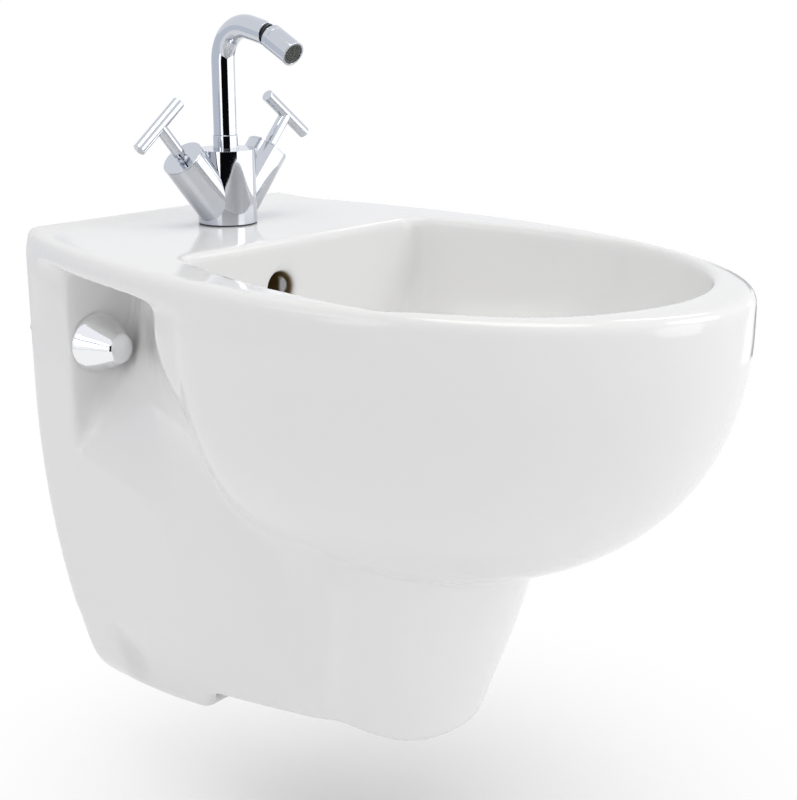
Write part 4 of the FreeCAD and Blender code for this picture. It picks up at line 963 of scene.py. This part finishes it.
def studio_card(name, arc, heights, colour, strength, nearest=CARD_NEAR, farthest=CARD_FAR):
    """A curved card round the tap, which shows only in what stands as far from it as the tap does."""
    verts, faces = [], []
    start, end = arc
    for step in range(CARD_STEPS + 1):
        turn = math.radians(start + (end - start) * step / CARD_STEPS)
        for z in heights:
            verts.append((CARD_R * math.cos(turn), TAP_Y + CARD_R * math.sin(turn), z))
    for step in range(CARD_STEPS):
        faces.append((2 * step, 2 * step + 2, 2 * step + 3, 2 * step + 1))
    mesh = bpy.data.meshes.new(name)
    mesh.from_pydata(verts, [], faces)
    card = new_piece(name, mesh)
    material = bpy.data.materials.new(name + "_paint")
    material.use_nodes = True
    tree = material.node_tree
    tree.nodes.clear()
    paint = add(tree, "ShaderNodeEmission", (0, 100), Color=(*colour, 1), Strength=strength)
    clear = add(tree, "ShaderNodeBsdfTransparent", (0, -100))
    mix = add(tree, "ShaderNodeMixShader", (250, 0))
    leave = add(tree, "ShaderNodeOutputMaterial", (500, 0))
    path = add(tree, "ShaderNodeLightPath", (-600, 0))
    near = sum_or_product(tree, "GREATER_THAN", (-400, 100), path.outputs["Ray Length"], nearest)
    far = sum_or_product(tree, "LESS_THAN", (-400, -100), path.outputs["Ray Length"], farthest)
    tree.links.new(sum_or_product(tree, "MULTIPLY", (-200, 0), near, far), mix.inputs[0])
    tree.links.new(clear.outputs[0], mix.inputs[1])
    tree.links.new(paint.outputs[0], mix.inputs[2])
    tree.links.new(mix.outputs[0], leave.inputs["Surface"])
    mesh.materials.append(material)
    card.visible_camera = False
    card.visible_diffuse = False
    card.visible_shadow = False
    card.visible_transmission = False
    card.visible_volume_scatter = False


def area_lamp(name, at, power, size, colour=(1, 1, 1)):
    """A large soft lamp that shines at the bidet's middle."""
    data = bpy.data.lights.new(name, "AREA")
    data.energy = power
    data.color = colour
    data.shape = "DISK"
    data.size = size
    lamp = bpy.data.objects.new(name, data)
    lamp.location = at
    lamp.rotation_euler = (Vector(LAMP_AIM) - Vector(at)).to_track_quat("-Z", "Y").to_euler()
    bpy.context.scene.collection.objects.link(lamp)


def studio_world(look):
    """White behind the object and in its reflections, and an even light on it."""
    world = bpy.data.worlds.new("studio")
    world.use_nodes = True
    bpy.context.scene.world = world
    tree = world.node_tree
    back = tree.nodes["Background"]
    path = add(tree, "ShaderNodeLightPath", (-900, 400))
    plain = add(tree, "ShaderNodeMix", (-300, 0), data_type="RGBA")
    plain.inputs[MIX_A].default_value = rgba([look.sky * part for part in SKY_TINT])
    plain.inputs[MIX_B].default_value = MIRRORED_ROOM
    tree.links.new(path.outputs["Is Glossy Ray"], plain.inputs["Factor"])
    seen = add(tree, "ShaderNodeMix", (-100, 200), data_type="RGBA")
    seen.inputs[MIX_B].default_value = (1, 1, 1, 1)
    tree.links.new(sum_or_product(tree, "MAXIMUM", (-400, 400), path.outputs["Is Camera Ray"],
                                  path.outputs["Is Transmission Ray"]), seen.inputs["Factor"])
    tree.links.new(plain.outputs[MIX_OUT], seen.inputs[MIX_A])
    tree.links.new(seen.outputs[MIX_OUT], back.inputs["Color"])
    back.inputs["Strength"].default_value = 1.0


class BIDET_OT_stage(bpy.types.Operator):
    """Set the floor, the light and the camera"""
    bl_idname = "bidet.stage"
    bl_label = "Stage"

    def execute(self, context):
        look = settings()[2]
        scene = context.scene
        scene.view_settings.view_transform = "Standard"
        studio_floor(look)
        studio_world(look)
        floor_z = CAD_LOW.z - look.floor_drop
        heights = (floor_z, CARD_TOP)
        studio_card("dark_card", DARK_ARC, heights, CARD_BLACK, 1.0)
        studio_card("left_white_card", LEFT_WHITE_ARC, heights, CARD_WHITE, look.streak)
        studio_card("right_white_card", RIGHT_WHITE_ARC, heights, CARD_WHITE, look.streak)
        studio_card("right_grey_card", RIGHT_GREY_ARC, (floor_z, GREY_TOP), CARD_GREY, 1.0, nearest=GREY_NEAR)
        studio_card("high_card", HIGH_ARC, GLINT_HEIGHTS, CARD_WHITE, look.glint, farthest=GLINT_FAR)
        studio_card("left_blue_card", LEFT_BLUE_ARC, (floor_z, BLUE_TOP), CARD_BLUE, 1.0)
        area_lamp("main_lamp", MAIN_LAMP_AT, look.key_power, look.lamp_size)
        area_lamp("front_lamp", FRONT_LAMP_AT, look.front_power, look.lamp_size)
        area_lamp("side_lamp", SIDE_LAMP_AT, look.side_power, look.lamp_size)
        area_lamp("top_lamp", TOP_LAMP_AT, look.top_power, look.lamp_size, TOP_LAMP_COLOUR)
        data = bpy.data.cameras.new("photo_camera")
        data.lens = look.lens
        data.sensor_width = SENSOR_WIDTH
        data.sensor_fit = "HORIZONTAL"
        camera = bpy.data.objects.new("photo_camera", data)
        camera.location = CAMERA_AT
        camera.rotation_euler = CAMERA_FORWARD.to_track_quat("-Z", "Y").to_euler()
        scene.collection.objects.link(camera)
        scene.camera = camera
        return {"FINISHED"}


class BIDET_PT_panel(bpy.types.Panel):
    """Sizes, colours and steps of the bidet"""
    bl_idname = "BIDET_PT_panel"
    bl_label = "Bidet"
    bl_space_type = "VIEW_3D"
    bl_region_type = "UI"
    bl_category = "Bidet"

    def draw(self, context):
        for group in settings():
            box = self.layout.box()
            for key in group.bl_rna.properties.keys():
                if key not in ("rna_type", "name"):
                    box.prop(group, key)
        for step in STEPS:
            self.layout.operator(step.bl_idname)


GROUP_TYPES = (BidetChina, BidetFinishes, BidetStage)
STEPS = (BIDET_OT_finishes, BIDET_OT_china, BIDET_OT_tap, BIDET_OT_handles, BIDET_OT_spout, BIDET_OT_waste,
         BIDET_OT_fixings, BIDET_OT_stage)
CLASSES = GROUP_TYPES + STEPS + (BIDET_PT_panel,)


def register():
    for kind in CLASSES:
        bpy.utils.register_class(kind)
    bpy.types.Scene.bidet_china = PointerProperty(type=BidetChina)
    bpy.types.Scene.bidet_finishes = PointerProperty(type=BidetFinishes)
    bpy.types.Scene.bidet_stage = PointerProperty(type=BidetStage)


def unregister():
    del bpy.types.Scene.bidet_stage
    del bpy.types.Scene.bidet_finishes
    del bpy.types.Scene.bidet_china
    for kind in reversed(CLASSES):
        bpy.utils.unregister_class(kind)


def main():
    register()
    bpy.ops.bidet.finishes()
    bpy.ops.bidet.china()
    bpy.ops.bidet.tap()
    bpy.ops.bidet.handles()
    bpy.ops.bidet.spout()
    bpy.ops.bidet.waste()
    bpy.ops.bidet.fixings()
    bpy.ops.bidet.stage()


if __name__ == "__main__":
    main()
